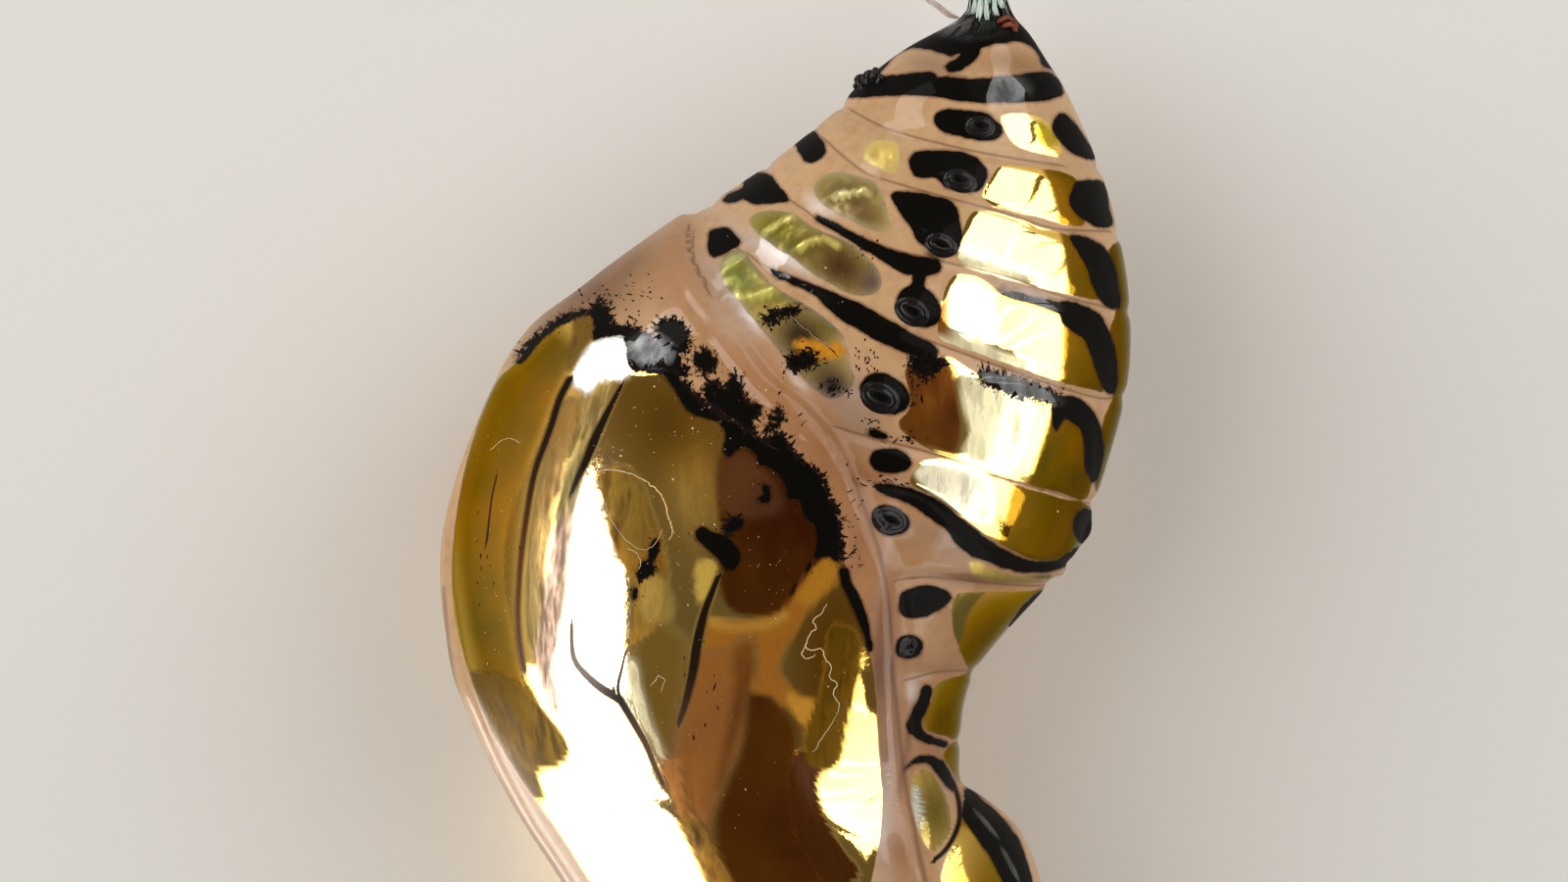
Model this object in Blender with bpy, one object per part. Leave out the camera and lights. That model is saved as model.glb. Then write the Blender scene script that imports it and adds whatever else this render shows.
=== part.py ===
"""A golden butterfly chrysalis, picked from its perch and lying on one flank, with the pad of silk its tail still grips.

The pupa is one grown shell: tail stalk, ringed abdomen, wing cases, thorax and head. It is lofted from named rings,
each between a point on the belly line and a point on the back line of its side view. Relief is then pressed into the
loft: seams between the rings, the raised wing cases with their rolled rims, breathing pores, knobs and eye horns.

In the side view x runs from belly to back and y from head to tail, and z comes out of the flank. The sizes below are
in millimetres.
"""

import math

import bpy
import numpy as np
from mathutils import Vector, noise

MM = 0.001

# One row for each ring of the body, from tail to head:
# name, belly point, back point, half width across the flanks, how far the ring bows towards the head on the flank
RINGS = (
    ("stalk end", (3.38, 10.62), (3.98, 10.62), 0.30, 0.00),
    ("stalk", (3.35, 10.36), (4.03, 10.36), 0.33, 0.00),
    ("stalk root", (3.20, 10.05), (4.15, 10.08), 0.48, 0.00),
    ("tail plate", (2.25, 9.52), (4.46, 9.72), 1.10, 0.02),
    ("tail boss", (1.66, 9.10), (4.78, 9.22), 1.50, 0.05),
    ("black band", (1.24, 8.74), (5.12, 8.68), 1.88, 0.08),
    ("seam 1", (0.98, 8.42), (5.65, 7.49), 2.42, 0.25),
    ("seam 2", (0.58, 8.07), (6.04, 6.22), 3.05, 0.36),
    ("seam 3", (-0.34, 7.36), (6.27, 4.73), 3.65, 0.48),
    ("seam 4", (-1.36, 6.66), (6.20, 3.17), 4.12, 0.60),
    ("seam 5", (-3.56, 5.08), (5.62, 1.13), 4.42, 0.56),
    ("seam 6", (-4.95, 3.80), (5.13, -0.08), 4.45, -0.10),
    ("seam 7", (-6.13, 0.83), (4.78, -0.39), 4.45, 0.20),
    ("seam 8", (-6.08, -1.53), (3.46, -1.92), 4.45, 0.05),
    ("seam 9", (-5.62, -2.92), (3.17, -3.22), 4.47, 0.00),
    ("thorax front", (-4.87, -4.39), (3.27, -3.97), 4.50, 0.00),
    ("thorax shoulder", (-4.28, -5.33), (4.20, -4.78), 4.50, 0.00),
    ("thorax hump", (-3.70, -6.20), (4.66, -5.85), 4.42, 0.00),
    ("thorax end", (-2.62, -7.72), (4.93, -7.10), 4.05, 0.00),
    ("collar", (-1.47, -9.15), (4.70, -8.60), 3.40, 0.00),
    ("head", (0.12, -10.32), (4.15, -9.80), 2.55, 0.00),
    ("brow", (1.38, -10.78), (3.60, -10.42), 1.75, 0.00),
)
TAIL_CAP, HEAD_CAP = 0.12, 0.42  # how far the closed ends stand past the first and last ring
KEEL = 0.12  # each ring is this much narrower towards the belly than towards the back

# The seams between the body's rings, as lines across the side view from belly to back
SEAMS = (
    ((1.00, 8.40), (1.85, 7.90), (2.80, 7.65), (3.85, 7.45), (5.00, 7.30), (5.90, 7.30)),
    ((0.55, 7.90), (1.50, 7.10), (2.30, 6.85), (3.20, 6.60), (3.90, 6.40), (4.80, 6.10), (6.30, 6.05)),
    ((-0.40, 7.35), (-0.05, 6.70), (0.90, 6.15), (1.80, 5.75), (2.65, 5.55), (3.85, 5.25), (4.95, 4.90), (6.50, 4.60)),
    ((-1.45, 6.65), (-0.30, 5.35), (0.45, 5.10), (1.30, 4.70), (2.90, 3.95), (4.30, 3.45), (5.60, 3.05), (6.50, 3.15)),
    ((-0.05, 2.90), (0.80, 2.55), (1.75, 2.25), (2.60, 2.05), (3.45, 1.80), (4.80, 1.35), (5.95, 1.05)),
    ((0.80, 1.80), (1.45, 1.55), (2.35, 1.35), (3.10, 0.85), (3.75, 0.35), (4.40, 0.05), (5.50, 0.00)),
    ((1.35, -0.35), (1.95, -0.20), (2.50, -0.20), (3.45, -0.30), (4.40, -0.35), (5.20, -0.35)),
    ((1.50, -2.10), (2.10, -2.00), (2.70, -1.95), (3.80, -1.95)),
    ((1.55, -3.05), (2.20, -3.10), (3.00, -3.20), (3.60, -3.35)),
)
SEAM_DEPTH, SEAM_WIDTH = 0.09, 0.13
# The fold that sets the thorax off from the waist, in front of a swollen cell
THORAX_FOLD = ((3.70, -3.60), (3.30, -3.90), (3.10, -4.20), (3.05, -4.55), (2.85, -5.00), (2.60, -5.40))
FOLD_DEPTH, FOLD_WIDTH = 0.20, 0.16
CELL_CENTRE, CELL_SIZE, CELL_HEIGHT = (2.60, -4.35), (0.40, 0.75), 0.16

# The fore wing case's hind edge, from the belly line to the head
FORE_WING_EDGE = (
    (-1.70, 7.20), (-1.75, 6.65), (-1.80, 5.85), (-1.65, 5.30), (-1.30, 4.75), (-0.75, 4.05), (-0.25, 3.40),
    (0.30, 2.95), (0.75, 2.45), (1.10, 1.90), (1.25, 1.40), (1.50, 0.70), (1.80, 0.00), (1.90, -0.75),
    (1.95, -1.45), (1.95, -2.15), (2.00, -3.05), (2.10, -3.90), (2.30, -4.80), (2.55, -5.80), (2.75, -7.00),
    (2.70, -8.20), (2.15, -9.10), (1.20, -9.60),
)
CASE_HEIGHT, CASE_SLOPE = 0.16, 0.24  # the case stands this proud of the abdomen, with an edge this wide
RIM_HEIGHT, RIM_INSET, RIM_WIDTH = 0.12, 0.30, 0.20  # the rolled rim, just inside that edge
# The strip of the hind wing that shows past the fore wing
HIND_WING_EDGE = (
    (1.35, 1.40), (1.70, 0.70), (2.00, 0.00), (2.15, -0.75), (2.20, -1.45), (2.15, -2.15), (2.25, -3.05),
    (2.40, -3.95), (2.55, -4.80), (2.75, -5.90),
)
STRIP_HEIGHT, STRIP_SLOPE = 0.08, 0.14
# The strip of legs and feelers along the belly: its half width, from where it starts to the head
STRIP_START, STRIP_END, STRIP_HALF_WIDTH = 4.6, -2.0, 1.35
GROOVE_DEPTH, GROOVE_WIDTH = 0.05, 0.14

# Breathing pores: centre in the side view and the lean of the long axis from x, in degrees
PORES = (
    ((3.55, 8.02), -8), ((3.11, 7.02), -20), ((2.71, 5.91), -20), ((2.34, 4.68), -30), ((1.73, 3.11), -28),
    ((1.84, 0.84), -22), ((2.20, -1.46), 10),
)
PORE_LENGTH, PORE_BREADTH, PORE_HEIGHT = 0.36, 0.26, 0.12
# Small knobs: centre in the side view, share of the half width, height, radius
KNOBS = (
    ((5.52, 0.60), 0.00, 0.14, 0.24),  # on the back, between two seams
    ((1.42, 9.00), 0.45, 0.22, 0.24),  # beside the tail, a pair
)
# Two blunt eye horns
HORN_X, HORN_Z, HORN_LENGTH, HORN_RADIUS, HORN_SPREAD = 2.45, 1.15, 0.75, 0.45, 0.35

REST_FLAT = 0.12  # the underside is flat to this depth where it lies
ROWS_PER_MM, COLUMNS = 9, 200
SHELL_TRIANGLES = 8800

SILK_CENTRE, SILK_SIZE = (3.66, 11.22), (0.75, 0.42, 0.65)
SILK_ROUGHNESS, SILK_DETAIL = 0.10, 3


def spline(points, t):
    """A smooth curve through points, at the places t, which count the points from 0."""
    points = np.asarray(points, float)
    t = np.clip(np.asarray(t, float), 0, len(points) - 1)
    i = np.minimum(t.astype(int), len(points) - 2)
    f = (t - i)[:, None]
    before, here = points[np.maximum(i - 1, 0)], points[i]
    there, after = points[i + 1], points[np.minimum(i + 2, len(points) - 1)]
    leave, arrive = (there - before) / 2, (after - here) / 2
    return (
        here * (1 + f * f * (2 * f - 3))
        + there * f * f * (3 - 2 * f)
        + leave * f * (f - 1) ** 2
        + arrive * f * f * (f - 1)
    )


def smooth_line(points, steps=6):
    """The same curve as many short straight pieces."""
    return spline(points, np.linspace(0, len(points) - 1, (len(points) - 1) * steps + 1))


def off_line(co, points):
    """The distance of each place in co from a line across the side view, positive on the line's right."""
    line = smooth_line(points)
    best, side = np.full(len(co), 1e9), np.ones(len(co))
    for a, b in zip(line[:-1], line[1:]):
        run = b - a
        share = np.clip(((co - a) @ run) / (run @ run), 0, 1)
        away = co - a - share[:, None] * run
        distance = np.hypot(away[:, 0], away[:, 1])
        nearer = distance < best
        best[nearer] = distance[nearer]
        side[nearer] = np.sign(run[1] * away[nearer, 0] - run[0] * away[nearer, 1])
    return best * side


def step(value, width):
    """0 below zero and 1 above width, with a smooth rise between."""
    share = np.clip(value / width, 0, 1)
    return share * share * (3 - 2 * share)


def bump(distance, width):
    return np.exp(-((distance / width) ** 2))


def loft():
    """The smooth shell, as rows by columns of points. The first and last rows have shrunk to a point."""
    belly, back = (np.array([ring[k] for ring in RINGS]) for k in (1, 2))
    lengths = np.maximum(*(np.linalg.norm(np.diff(side, axis=0), axis=1) for side in (belly, back)))
    t = np.concatenate([
        i + np.linspace(0, 1, max(3, round(length * ROWS_PER_MM)), endpoint=False)
        for i, length in enumerate(lengths)
    ] + [[len(RINGS) - 1]])
    belly, back = spline(belly, t), spline(back, t)
    width, bow = spline([ring[3:] for ring in RINGS], t).T

    # Each closed end is the end ring again, shrinking as a quarter circle while it moves outwards.
    turn = np.linspace(0, math.pi / 2, 9)[1:]
    size = np.concatenate([np.cos(turn[::-1]), np.ones(len(t)), np.cos(turn)])
    out = np.concatenate([-TAIL_CAP * np.sin(turn[::-1]), np.zeros(len(t)), HEAD_CAP * np.sin(turn)])
    ends = np.pad(np.arange(len(t)), len(turn), mode="edge")
    middle, reach = ((belly + back) / 2)[ends], ((back - belly) / 2)[ends]
    depth = np.hypot(*reach.T)
    across = reach / depth[:, None]
    headward = np.stack([across[:, 1], -across[:, 0]], axis=1)
    middle = middle + headward * out[:, None]
    depth, width, bow = depth * size, width[ends] * size, bow[ends] * size

    angle = np.linspace(0, 2 * math.pi, COLUMNS, endpoint=False)
    cos, sin = np.cos(angle), np.sin(angle)
    plan = (
        middle[:, None]
        - (depth[:, None] * cos)[:, :, None] * across[:, None]
        + (bow[:, None] * sin**2)[:, :, None] * headward[:, None]
    )
    z = width[:, None] * sin * (1 - KEEL * cos)
    return np.concatenate([plan, z[:, :, None]], axis=2)


def normals_of(grid):
    down = np.gradient(grid, axis=0)
    around = np.roll(grid, -1, axis=1) - np.roll(grid, 1, axis=1)
    normal = np.cross(down, around)
    return normal / np.maximum(np.linalg.norm(normal, axis=2, keepdims=True), 1e-9)


def relief(grid):
    """How far each point of the loft moves out along its normal."""
    co, z = grid[:, :, :2].reshape(-1, 2), np.abs(grid[:, :, 2].reshape(-1))

    inside = off_line(co, FORE_WING_EDGE)
    case = step(inside + CASE_SLOPE / 2, CASE_SLOPE)
    out = CASE_HEIGHT * case + RIM_HEIGHT * bump(inside - RIM_INSET, RIM_WIDTH) * step(z - 0.4, 1.6)

    beyond = off_line(co, HIND_WING_EDGE)
    shown = step(1.9 - co[:, 1], 0.6) * step(co[:, 1] + 6.6, 0.8) * step(inside + 1.2, 0.3)
    out += STRIP_HEIGHT * step(beyond + STRIP_SLOPE / 2, STRIP_SLOPE) * (1 - case) * shown

    for seam in SEAMS:
        out -= SEAM_DEPTH * bump(off_line(co, seam), SEAM_WIDTH) * (1 - case)
    out -= FOLD_DEPTH * bump(off_line(co, THORAX_FOLD), FOLD_WIDTH) * (1 - case)
    cell = np.hypot(*((co - CELL_CENTRE) / CELL_SIZE).T)
    out += CELL_HEIGHT * bump(cell, 0.8) * (1 - case)

    half = STRIP_HALF_WIDTH * step(STRIP_START - co[:, 1], STRIP_START - STRIP_END)
    on_belly = step(1.0 - co[:, 0], 1.0) * step(inside, 0.5) * step(half - 0.15, 0.2)
    out -= GROOVE_DEPTH * bump(z - half, GROOVE_WIDTH) * on_belly

    for centre, lean in PORES:
        turn = math.radians(lean)
        away = co - centre
        long = away[:, 0] * math.cos(turn) + away[:, 1] * math.sin(turn)
        short = away[:, 1] * math.cos(turn) - away[:, 0] * math.sin(turn)
        out += PORE_HEIGHT * bump(np.hypot(long / PORE_LENGTH, short / PORE_BREADTH), 0.9)
    top = np.abs(grid[:, :, 2]).max(axis=1).repeat(grid.shape[1])
    for centre, share, height, radius in KNOBS:
        away = np.hypot(*(co - centre).T)
        out += height * bump(np.hypot(away, z - share * top), radius)
    return out.reshape(grid.shape[:2])


def shell_points():
    grid = loft()
    grid = grid + normals_of(grid) * relief(grid)[:, :, None]
    # The horns grow straight towards the head, and a little apart.
    for side in (-1, 1):
        away = np.hypot(grid[:, :, 0] - HORN_X, grid[:, :, 2] - side * HORN_Z)
        rise = HORN_LENGTH * bump(away, HORN_RADIUS) * step(-9.6 - grid[:, :, 1], 0.6)
        grid[:, :, 1] -= rise
        grid[:, :, 2] += side * HORN_SPREAD * rise
    grid[:, :, 2] = np.maximum(grid[:, :, 2], grid[:, :, 2].min() + REST_FLAT)
    return grid


def material(name, colour, roughness, metallic):
    made = bpy.data.materials.new(name)
    made.use_nodes = True
    shader = made.node_tree.nodes["Principled BSDF"]
    shader.inputs["Base Color"].default_value = (*colour, 1)
    shader.inputs["Roughness"].default_value = roughness
    shader.inputs["Metallic"].default_value = metallic
    return made


def add_object(name, points, faces, finish):
    mesh = bpy.data.meshes.new(name)
    mesh.from_pydata(points, [], faces)
    mesh.materials.append(finish)
    mesh.shade_smooth()
    made = bpy.data.objects.new(name, mesh)
    bpy.context.scene.collection.objects.link(made)
    return made


def build_chrysalis(grid, centre):
    """Quads between the rows, and a fan of triangles round the single point at each end."""
    points = (grid.reshape(-1, 3) - centre) * MM
    rows, columns = grid.shape[0] - 2, grid.shape[1]
    inner = points[columns:-columns]
    tail, head, last = len(inner), len(inner) + 1, len(inner) - columns
    faces = []
    for c in range(columns):
        d = (c + 1) % columns
        for r in range(0, last, columns):
            faces.append((r + c, r + columns + c, r + columns + d, r + d))
        faces.append((tail, c, d))
        faces.append((head, last + d, last + c))
    shell = add_object(
        "chrysalis",
        np.vstack([inner, points[:1], points[-1:]]).tolist(),
        faces,
        material("golden_shell", (0.62, 0.42, 0.10), 0.15, 0.8),
    )
    thinner = shell.modifiers.new("fewer faces", "DECIMATE")
    thinner.ratio = SHELL_TRIANGLES / (2 * rows * columns)


def build_silk(centre):
    """A small lump of felted silk, just past the end of the stalk."""
    bpy.ops.mesh.primitive_ico_sphere_add(subdivisions=SILK_DETAIL, radius=1)
    pad = bpy.context.object
    pad.name = pad.data.name = "silk_pad"
    place = Vector((*SILK_CENTRE, 0)) - Vector(centre)
    for vertex in pad.data.vertices:
        rough = 1 + SILK_ROUGHNESS * noise.noise(vertex.co * 2.5)
        at = Vector(vertex.co[i] * SILK_SIZE[i] for i in range(3)) * rough
        vertex.co = (at + place) * MM
    pad.data.materials.append(material("silk", (0.55, 0.72, 0.66), 0.8, 0.0))
    pad.data.shade_smooth()


def main():
    for old in list(bpy.data.objects):
        bpy.data.objects.remove(old)
    grid = shell_points()
    low, high = grid.reshape(-1, 3).min(axis=0), grid.reshape(-1, 3).max(axis=0)
    high[1] = SILK_CENTRE[1] + SILK_SIZE[1]
    # The origin is at the middle of the box's underside, where it lies.
    centre = np.array([(low[0] + high[0]) / 2, (low[1] + high[1]) / 2, low[2]])
    build_chrysalis(grid, centre)
    build_silk(centre)


main()
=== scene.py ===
# %% [markdown]
# # A golden butterfly chrysalis
# This is the pupa of a tiger-wing butterfly, a relative of the monarch. It hangs by its tail from a pad of
# silk, and its skin is a stack of clear layers so thin that they reflect like polished gold. Here it lies
# on one flank, and the camera looks straight down on the other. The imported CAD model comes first, because
# every piece below has to stay where it is.

# %% Load the frame
import math

import bpy
import numpy as np
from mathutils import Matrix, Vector, noise
from mathutils.bvhtree import BVHTree


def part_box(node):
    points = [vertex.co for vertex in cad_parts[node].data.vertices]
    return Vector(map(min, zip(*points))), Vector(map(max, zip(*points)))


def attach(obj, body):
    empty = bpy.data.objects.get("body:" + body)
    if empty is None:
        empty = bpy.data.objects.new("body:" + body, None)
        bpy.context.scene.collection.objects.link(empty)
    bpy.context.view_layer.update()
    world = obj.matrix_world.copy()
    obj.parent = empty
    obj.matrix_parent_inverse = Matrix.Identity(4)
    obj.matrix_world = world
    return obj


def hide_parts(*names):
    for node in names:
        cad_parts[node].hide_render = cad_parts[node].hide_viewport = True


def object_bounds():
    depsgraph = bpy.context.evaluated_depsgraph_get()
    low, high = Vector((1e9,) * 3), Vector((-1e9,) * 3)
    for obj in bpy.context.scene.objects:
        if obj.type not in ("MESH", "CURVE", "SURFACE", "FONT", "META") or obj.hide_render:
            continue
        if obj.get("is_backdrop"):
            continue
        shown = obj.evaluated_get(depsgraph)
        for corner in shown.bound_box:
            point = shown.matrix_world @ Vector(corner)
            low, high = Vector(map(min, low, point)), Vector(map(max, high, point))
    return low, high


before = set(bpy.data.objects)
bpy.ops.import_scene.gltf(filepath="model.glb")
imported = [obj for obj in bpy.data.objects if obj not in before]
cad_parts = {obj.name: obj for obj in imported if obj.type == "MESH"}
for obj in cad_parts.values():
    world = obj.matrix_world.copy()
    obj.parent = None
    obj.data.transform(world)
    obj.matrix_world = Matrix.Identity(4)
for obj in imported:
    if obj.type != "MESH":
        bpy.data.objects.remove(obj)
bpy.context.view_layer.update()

MM = 0.001
body_low, body_high = (np.array(corner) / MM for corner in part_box("chrysalis"))

# %% [markdown]
# ## Two rulers
# The body is described in its side view, in millimetres: x from belly to back, y from head to tail and z
# out of the flank. The markings are easier to place where the eye sees them, in pixels of a 1600 by 900
# picture. One pixel covers 0.018 mm of the side view, because such a pupa is about 22 mm long, and that one
# number ties the two rulers.

# %% Side view and picture
PIXEL = 0.018  # mm
SIDE_ORIGIN = np.array([803.5, 576])  # the pixel where the side view's x and y are 0
PICTURE_CENTRE = np.array([800, 450])
UP = np.array([1, -1])  # a picture's rows count downwards
EYE_HEIGHT = 200  # mm from the camera to the middle of the body
eye = (PICTURE_CENTRE - SIDE_ORIGIN) * PIXEL * UP
print("the camera looks down at x, y =", eye.round(3), "mm of the side view")

# %% [markdown]
# ## The body's plan
# A pupa grows as one closed skin, so it is lofted: a ring at each seam of the body runs from a point on the
# belly to a point on the back, and a smooth curve through the rings gives all those between. Sculpting
# could do it too, but named rings keep the real sizes in sight and repeat exactly.

# %% Rings, seams and edges, in mm of the side view
# name, belly point, back point, half width across the flanks, how far it bows towards the head on the flank
RINGS = (
    ("stalk end", (3.38, 10.62), (3.98, 10.62), 0.30, 0.00),
    ("stalk", (3.35, 10.36), (4.03, 10.36), 0.33, 0.00),
    ("stalk root", (3.20, 10.05), (4.15, 10.08), 0.48, 0.00),
    ("tail plate", (2.25, 9.52), (4.46, 9.72), 1.10, 0.02),
    ("tail boss", (1.66, 9.10), (4.78, 9.22), 1.50, 0.05),
    ("black band", (1.24, 8.74), (5.12, 8.68), 1.88, 0.08),
    ("seam 1", (0.98, 8.42), (5.65, 7.49), 2.42, 0.25),
    ("seam 2", (0.58, 8.07), (6.04, 6.22), 3.05, 0.36),
    ("seam 3", (-0.34, 7.36), (6.27, 4.73), 3.65, 0.48),
    ("seam 4", (-1.36, 6.66), (6.20, 3.17), 4.12, 0.60),
    ("seam 5", (-3.56, 5.08), (5.62, 1.13), 4.42, 0.56),
    ("seam 6", (-4.95, 3.80), (5.13, -0.08), 4.45, -0.10),
    ("seam 7", (-6.13, 0.83), (4.78, -0.39), 4.45, 0.20),
    ("seam 8", (-6.08, -1.53), (3.46, -1.92), 4.45, 0.05),
    ("seam 9", (-5.62, -2.92), (3.17, -3.22), 4.47, 0.00),
    ("thorax front", (-4.87, -4.39), (3.27, -3.97), 4.50, 0.00),
    ("thorax shoulder", (-4.28, -5.33), (4.20, -4.78), 4.50, 0.00),
    ("thorax hump", (-3.70, -6.20), (4.66, -5.85), 4.42, 0.00),
    ("thorax end", (-2.62, -7.72), (4.93, -7.10), 4.05, 0.00),
    ("collar", (-1.47, -9.15), (4.70, -8.60), 3.40, 0.00),
    ("head", (0.12, -10.32), (4.15, -9.80), 2.55, 0.00),
    ("brow", (1.38, -10.78), (3.60, -10.42), 1.75, 0.00),
)
TAIL_CAP, HEAD_CAP = 0.12, 0.42
KEEL = 0.12  # how much more the flanks bulge towards the back than towards the belly
# Each line below is text: x,y of its first point, x,y of the next, and so on.
SEAMS = (
    "1.0,8.4 1.85,7.9 2.8,7.65 3.85,7.45 5.0,7.3 5.9,7.3",
    "0.55,7.9 1.5,7.1 2.3,6.85 3.2,6.6 3.9,6.4 4.8,6.1 6.3,6.05",
    "-0.4,7.35 -0.05,6.7 0.9,6.15 1.8,5.75 2.65,5.55 3.85,5.25 4.95,4.9 6.5,4.6",
    "-1.45,6.65 -0.3,5.35 0.45,5.1 1.3,4.7 2.9,3.95 4.3,3.45 5.6,3.05 6.5,3.15",
    "-0.05,2.9 0.8,2.55 1.75,2.25 2.6,2.05 3.45,1.8 4.8,1.35 5.95,1.05",
    "0.8,1.8 1.45,1.55 2.35,1.35 3.1,0.85 3.75,0.35 4.4,0.05 5.5,0.0",
    "1.35,-0.35 1.95,-0.2 2.5,-0.2 3.45,-0.3 4.4,-0.35 5.2,-0.35",
    "1.5,-2.1 2.1,-2.0 2.7,-1.95 3.8,-1.95",
    "1.55,-3.05 2.2,-3.1 3.0,-3.2 3.6,-3.35",
)
THORAX_FOLD = "3.7,-3.6 3.3,-3.9 3.1,-4.2 3.05,-4.55 2.85,-5.0 2.6,-5.4"
FORE_WING_EDGE = (
    "-1.7,7.2 -1.75,6.65 -1.8,5.85 -1.65,5.3 -1.3,4.75 -0.75,4.05 -0.25,3.4 0.3,2.95 0.75,2.45 1.1,1.9 "
    "1.25,1.4 1.5,0.7 1.8,0.0 1.9,-0.75 1.95,-1.45 1.95,-2.15 2.0,-3.05 2.1,-3.9 2.3,-4.8 2.55,-5.8 "
    "2.75,-7.0 2.7,-8.2 2.15,-9.1 1.2,-9.6"
)
HIND_WING_EDGE = (
    "1.35,1.4 1.7,0.7 2.0,0.0 2.15,-0.75 2.2,-1.45 2.15,-2.15 2.25,-3.05 2.4,-3.95 2.55,-4.8 2.75,-5.9"
)
# Breathing pores: centre, and the lean of the long axis from x in degrees
PORES = (
    ((3.55, 8.02), -8), ((3.11, 7.02), -20), ((2.71, 5.91), -20), ((2.34, 4.68), -30), ((1.73, 3.11), -28),
    ((1.84, 0.84), -22), ((2.20, -1.46), 10),
)
# Small knobs: centre, share of the half width, height, radius
KNOBS = (((5.52, 0.60), 0.00, 0.14, 0.24), ((1.42, 9.00), 0.45, 0.22, 0.24))
print(len(RINGS), "rings and", len(SEAMS), "seams")

# %% Smooth curves
def drawn(text):
    """The points of a line that is written down as text."""
    return np.array([place.split(",") for place in text.split()], float)


def spline(points, t):
    """A smooth curve through points, at the places t, which count the points from 0."""
    points = np.asarray(points, float)
    t = np.clip(np.asarray(t, float), 0, len(points) - 1)
    i = np.minimum(t.astype(int), len(points) - 2)
    f = (t - i)[:, None]
    before, here = points[np.maximum(i - 1, 0)], points[i]
    there, after = points[i + 1], points[np.minimum(i + 2, len(points) - 1)]
    leave, arrive = (there - before) / 2, (after - here) / 2
    return (
        here * (1 + f * f * (2 * f - 3))
        + there * f * f * (3 - 2 * f)
        + leave * f * (f - 1) ** 2
        + arrive * f * f * (f - 1)
    )


def smooth_line(points, steps=6):
    """An open smooth curve through points, in so many steps from each to the next."""
    return spline(points, np.linspace(0, len(points) - 1, (len(points) - 1) * steps + 1))


def smooth_ring(outline, steps=4):
    """A closed smooth curve through the points of an outline, without its first point again at the end."""
    points = drawn(outline)
    wrapped = [points[-1], *points, points[0], points[1]]
    return spline(wrapped, np.linspace(1, len(points) + 1, len(points) * steps, endpoint=False))


def step(value, width):
    """0 below zero and 1 above width, with a smooth rise between."""
    share = np.clip(value / width, 0, 1)
    return share * share * (3 - 2 * share)


def bump(distance, width):
    """1 at no distance, falling away softly over the width on both sides."""
    return np.exp(-((distance / width) ** 2))


print("the fore wing's edge:", len(drawn(FORE_WING_EDGE)), "points")

# %% Loft the body
ROWS_PER_MM, COLUMNS = 9, 350


def loft():
    """Rows by columns of points, in mm of the side view. The first and last rows have shrunk to a point."""
    belly, back = (np.array([ring[k] for ring in RINGS]) for k in (1, 2))
    lengths = np.maximum(*(np.linalg.norm(np.diff(side, axis=0), axis=1) for side in (belly, back)))
    t = np.concatenate([
        i + np.linspace(0, 1, max(3, round(length * ROWS_PER_MM)), endpoint=False)
        for i, length in enumerate(lengths)
    ] + [[len(RINGS) - 1]])
    belly, back = spline(belly, t), spline(back, t)
    width, bow = spline([ring[3:] for ring in RINGS], t).T
    # Each closed end is the end ring again, shrinking as a quarter circle while it moves outwards.
    turn = np.linspace(0, math.pi / 2, 9)[1:]
    size = np.concatenate([np.cos(turn[::-1]), np.ones(len(t)), np.cos(turn)])
    out = np.concatenate([-TAIL_CAP * np.sin(turn[::-1]), np.zeros(len(t)), HEAD_CAP * np.sin(turn)])
    ends = np.pad(np.arange(len(t)), len(turn), mode="edge")
    middle, reach = ((belly + back) / 2)[ends], ((back - belly) / 2)[ends]
    depth = np.hypot(*reach.T)
    across = reach / depth[:, None]
    headward = np.stack([across[:, 1], -across[:, 0]], axis=1)
    middle = middle + headward * out[:, None]
    depth, width, bow = depth * size, width[ends] * size, bow[ends] * size
    angle = np.linspace(0, 2 * math.pi, COLUMNS, endpoint=False)
    cos, sin = np.cos(angle), np.sin(angle)
    plan = (
        middle[:, None]
        - (depth[:, None] * cos)[:, :, None] * across[:, None]
        + (bow[:, None] * sin**2)[:, :, None] * headward[:, None]
    )
    z = width[:, None] * sin * (1 - KEEL * cos)
    return np.concatenate([plan, z[:, :, None]], axis=2)


def normals_of(grid):
    """The way out of the skin at each point of the grid."""
    down = np.gradient(grid, axis=0)
    around = np.roll(grid, -1, axis=1) - np.roll(grid, 1, axis=1)
    normal = np.cross(down, around)
    return normal / np.maximum(np.linalg.norm(normal, axis=2, keepdims=True), 1e-9)


grid = loft()
print("loft:", grid.shape[0], "rows of", grid.shape[1], "points")

# %% [markdown]
# ## Relief
# The wing cases lie on the body like a folded leaf with a rolled rim, the abdomen's rings meet in sunken
# seams, and the tail ends in small knobs. Each of these is a distance from a named line, pressed into the
# loft along its normals. That gives soft, clean edges that a mirror finish can show, where a bump map would
# only tilt the light.

# %% Press the main forms into the loft, in mm
CASE_HEIGHT, CASE_SLOPE = 0.16, 0.24
RIM_HEIGHT, RIM_INSET, RIM_WIDTH = 0.12, 0.30, 0.20
STRIP_HEIGHT, STRIP_SLOPE, STRIP_TOP, STRIP_FOOT, STRIP_REACH = 0.08, 0.14, 1.9, -6.6, 1.2
SEAM_DEPTH, SEAM_WIDTH = 0.055, 0.11
FOLD_DEPTH, FOLD_WIDTH = 0.09, 0.20
CELL_CENTRE, CELL_SIZE, CELL_HEIGHT = (2.60, -4.35), (0.40, 0.75), 0.16
LEGS_START, LEGS_END, LEGS_HALF_WIDTH, BELLY_SIDE = 4.6, -2.0, 1.35, 1.0
GROOVE_DEPTH, GROOVE_WIDTH = 0.05, 0.14
PORE_LENGTH, PORE_BREADTH, PORE_HEIGHT = 0.36, 0.26, 0.12
HORN_X, HORN_Z, HORN_START, HORN_LENGTH, HORN_RADIUS, HORN_SPREAD = 2.45, 1.15, -9.6, 0.75, 0.45, 0.35
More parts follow.
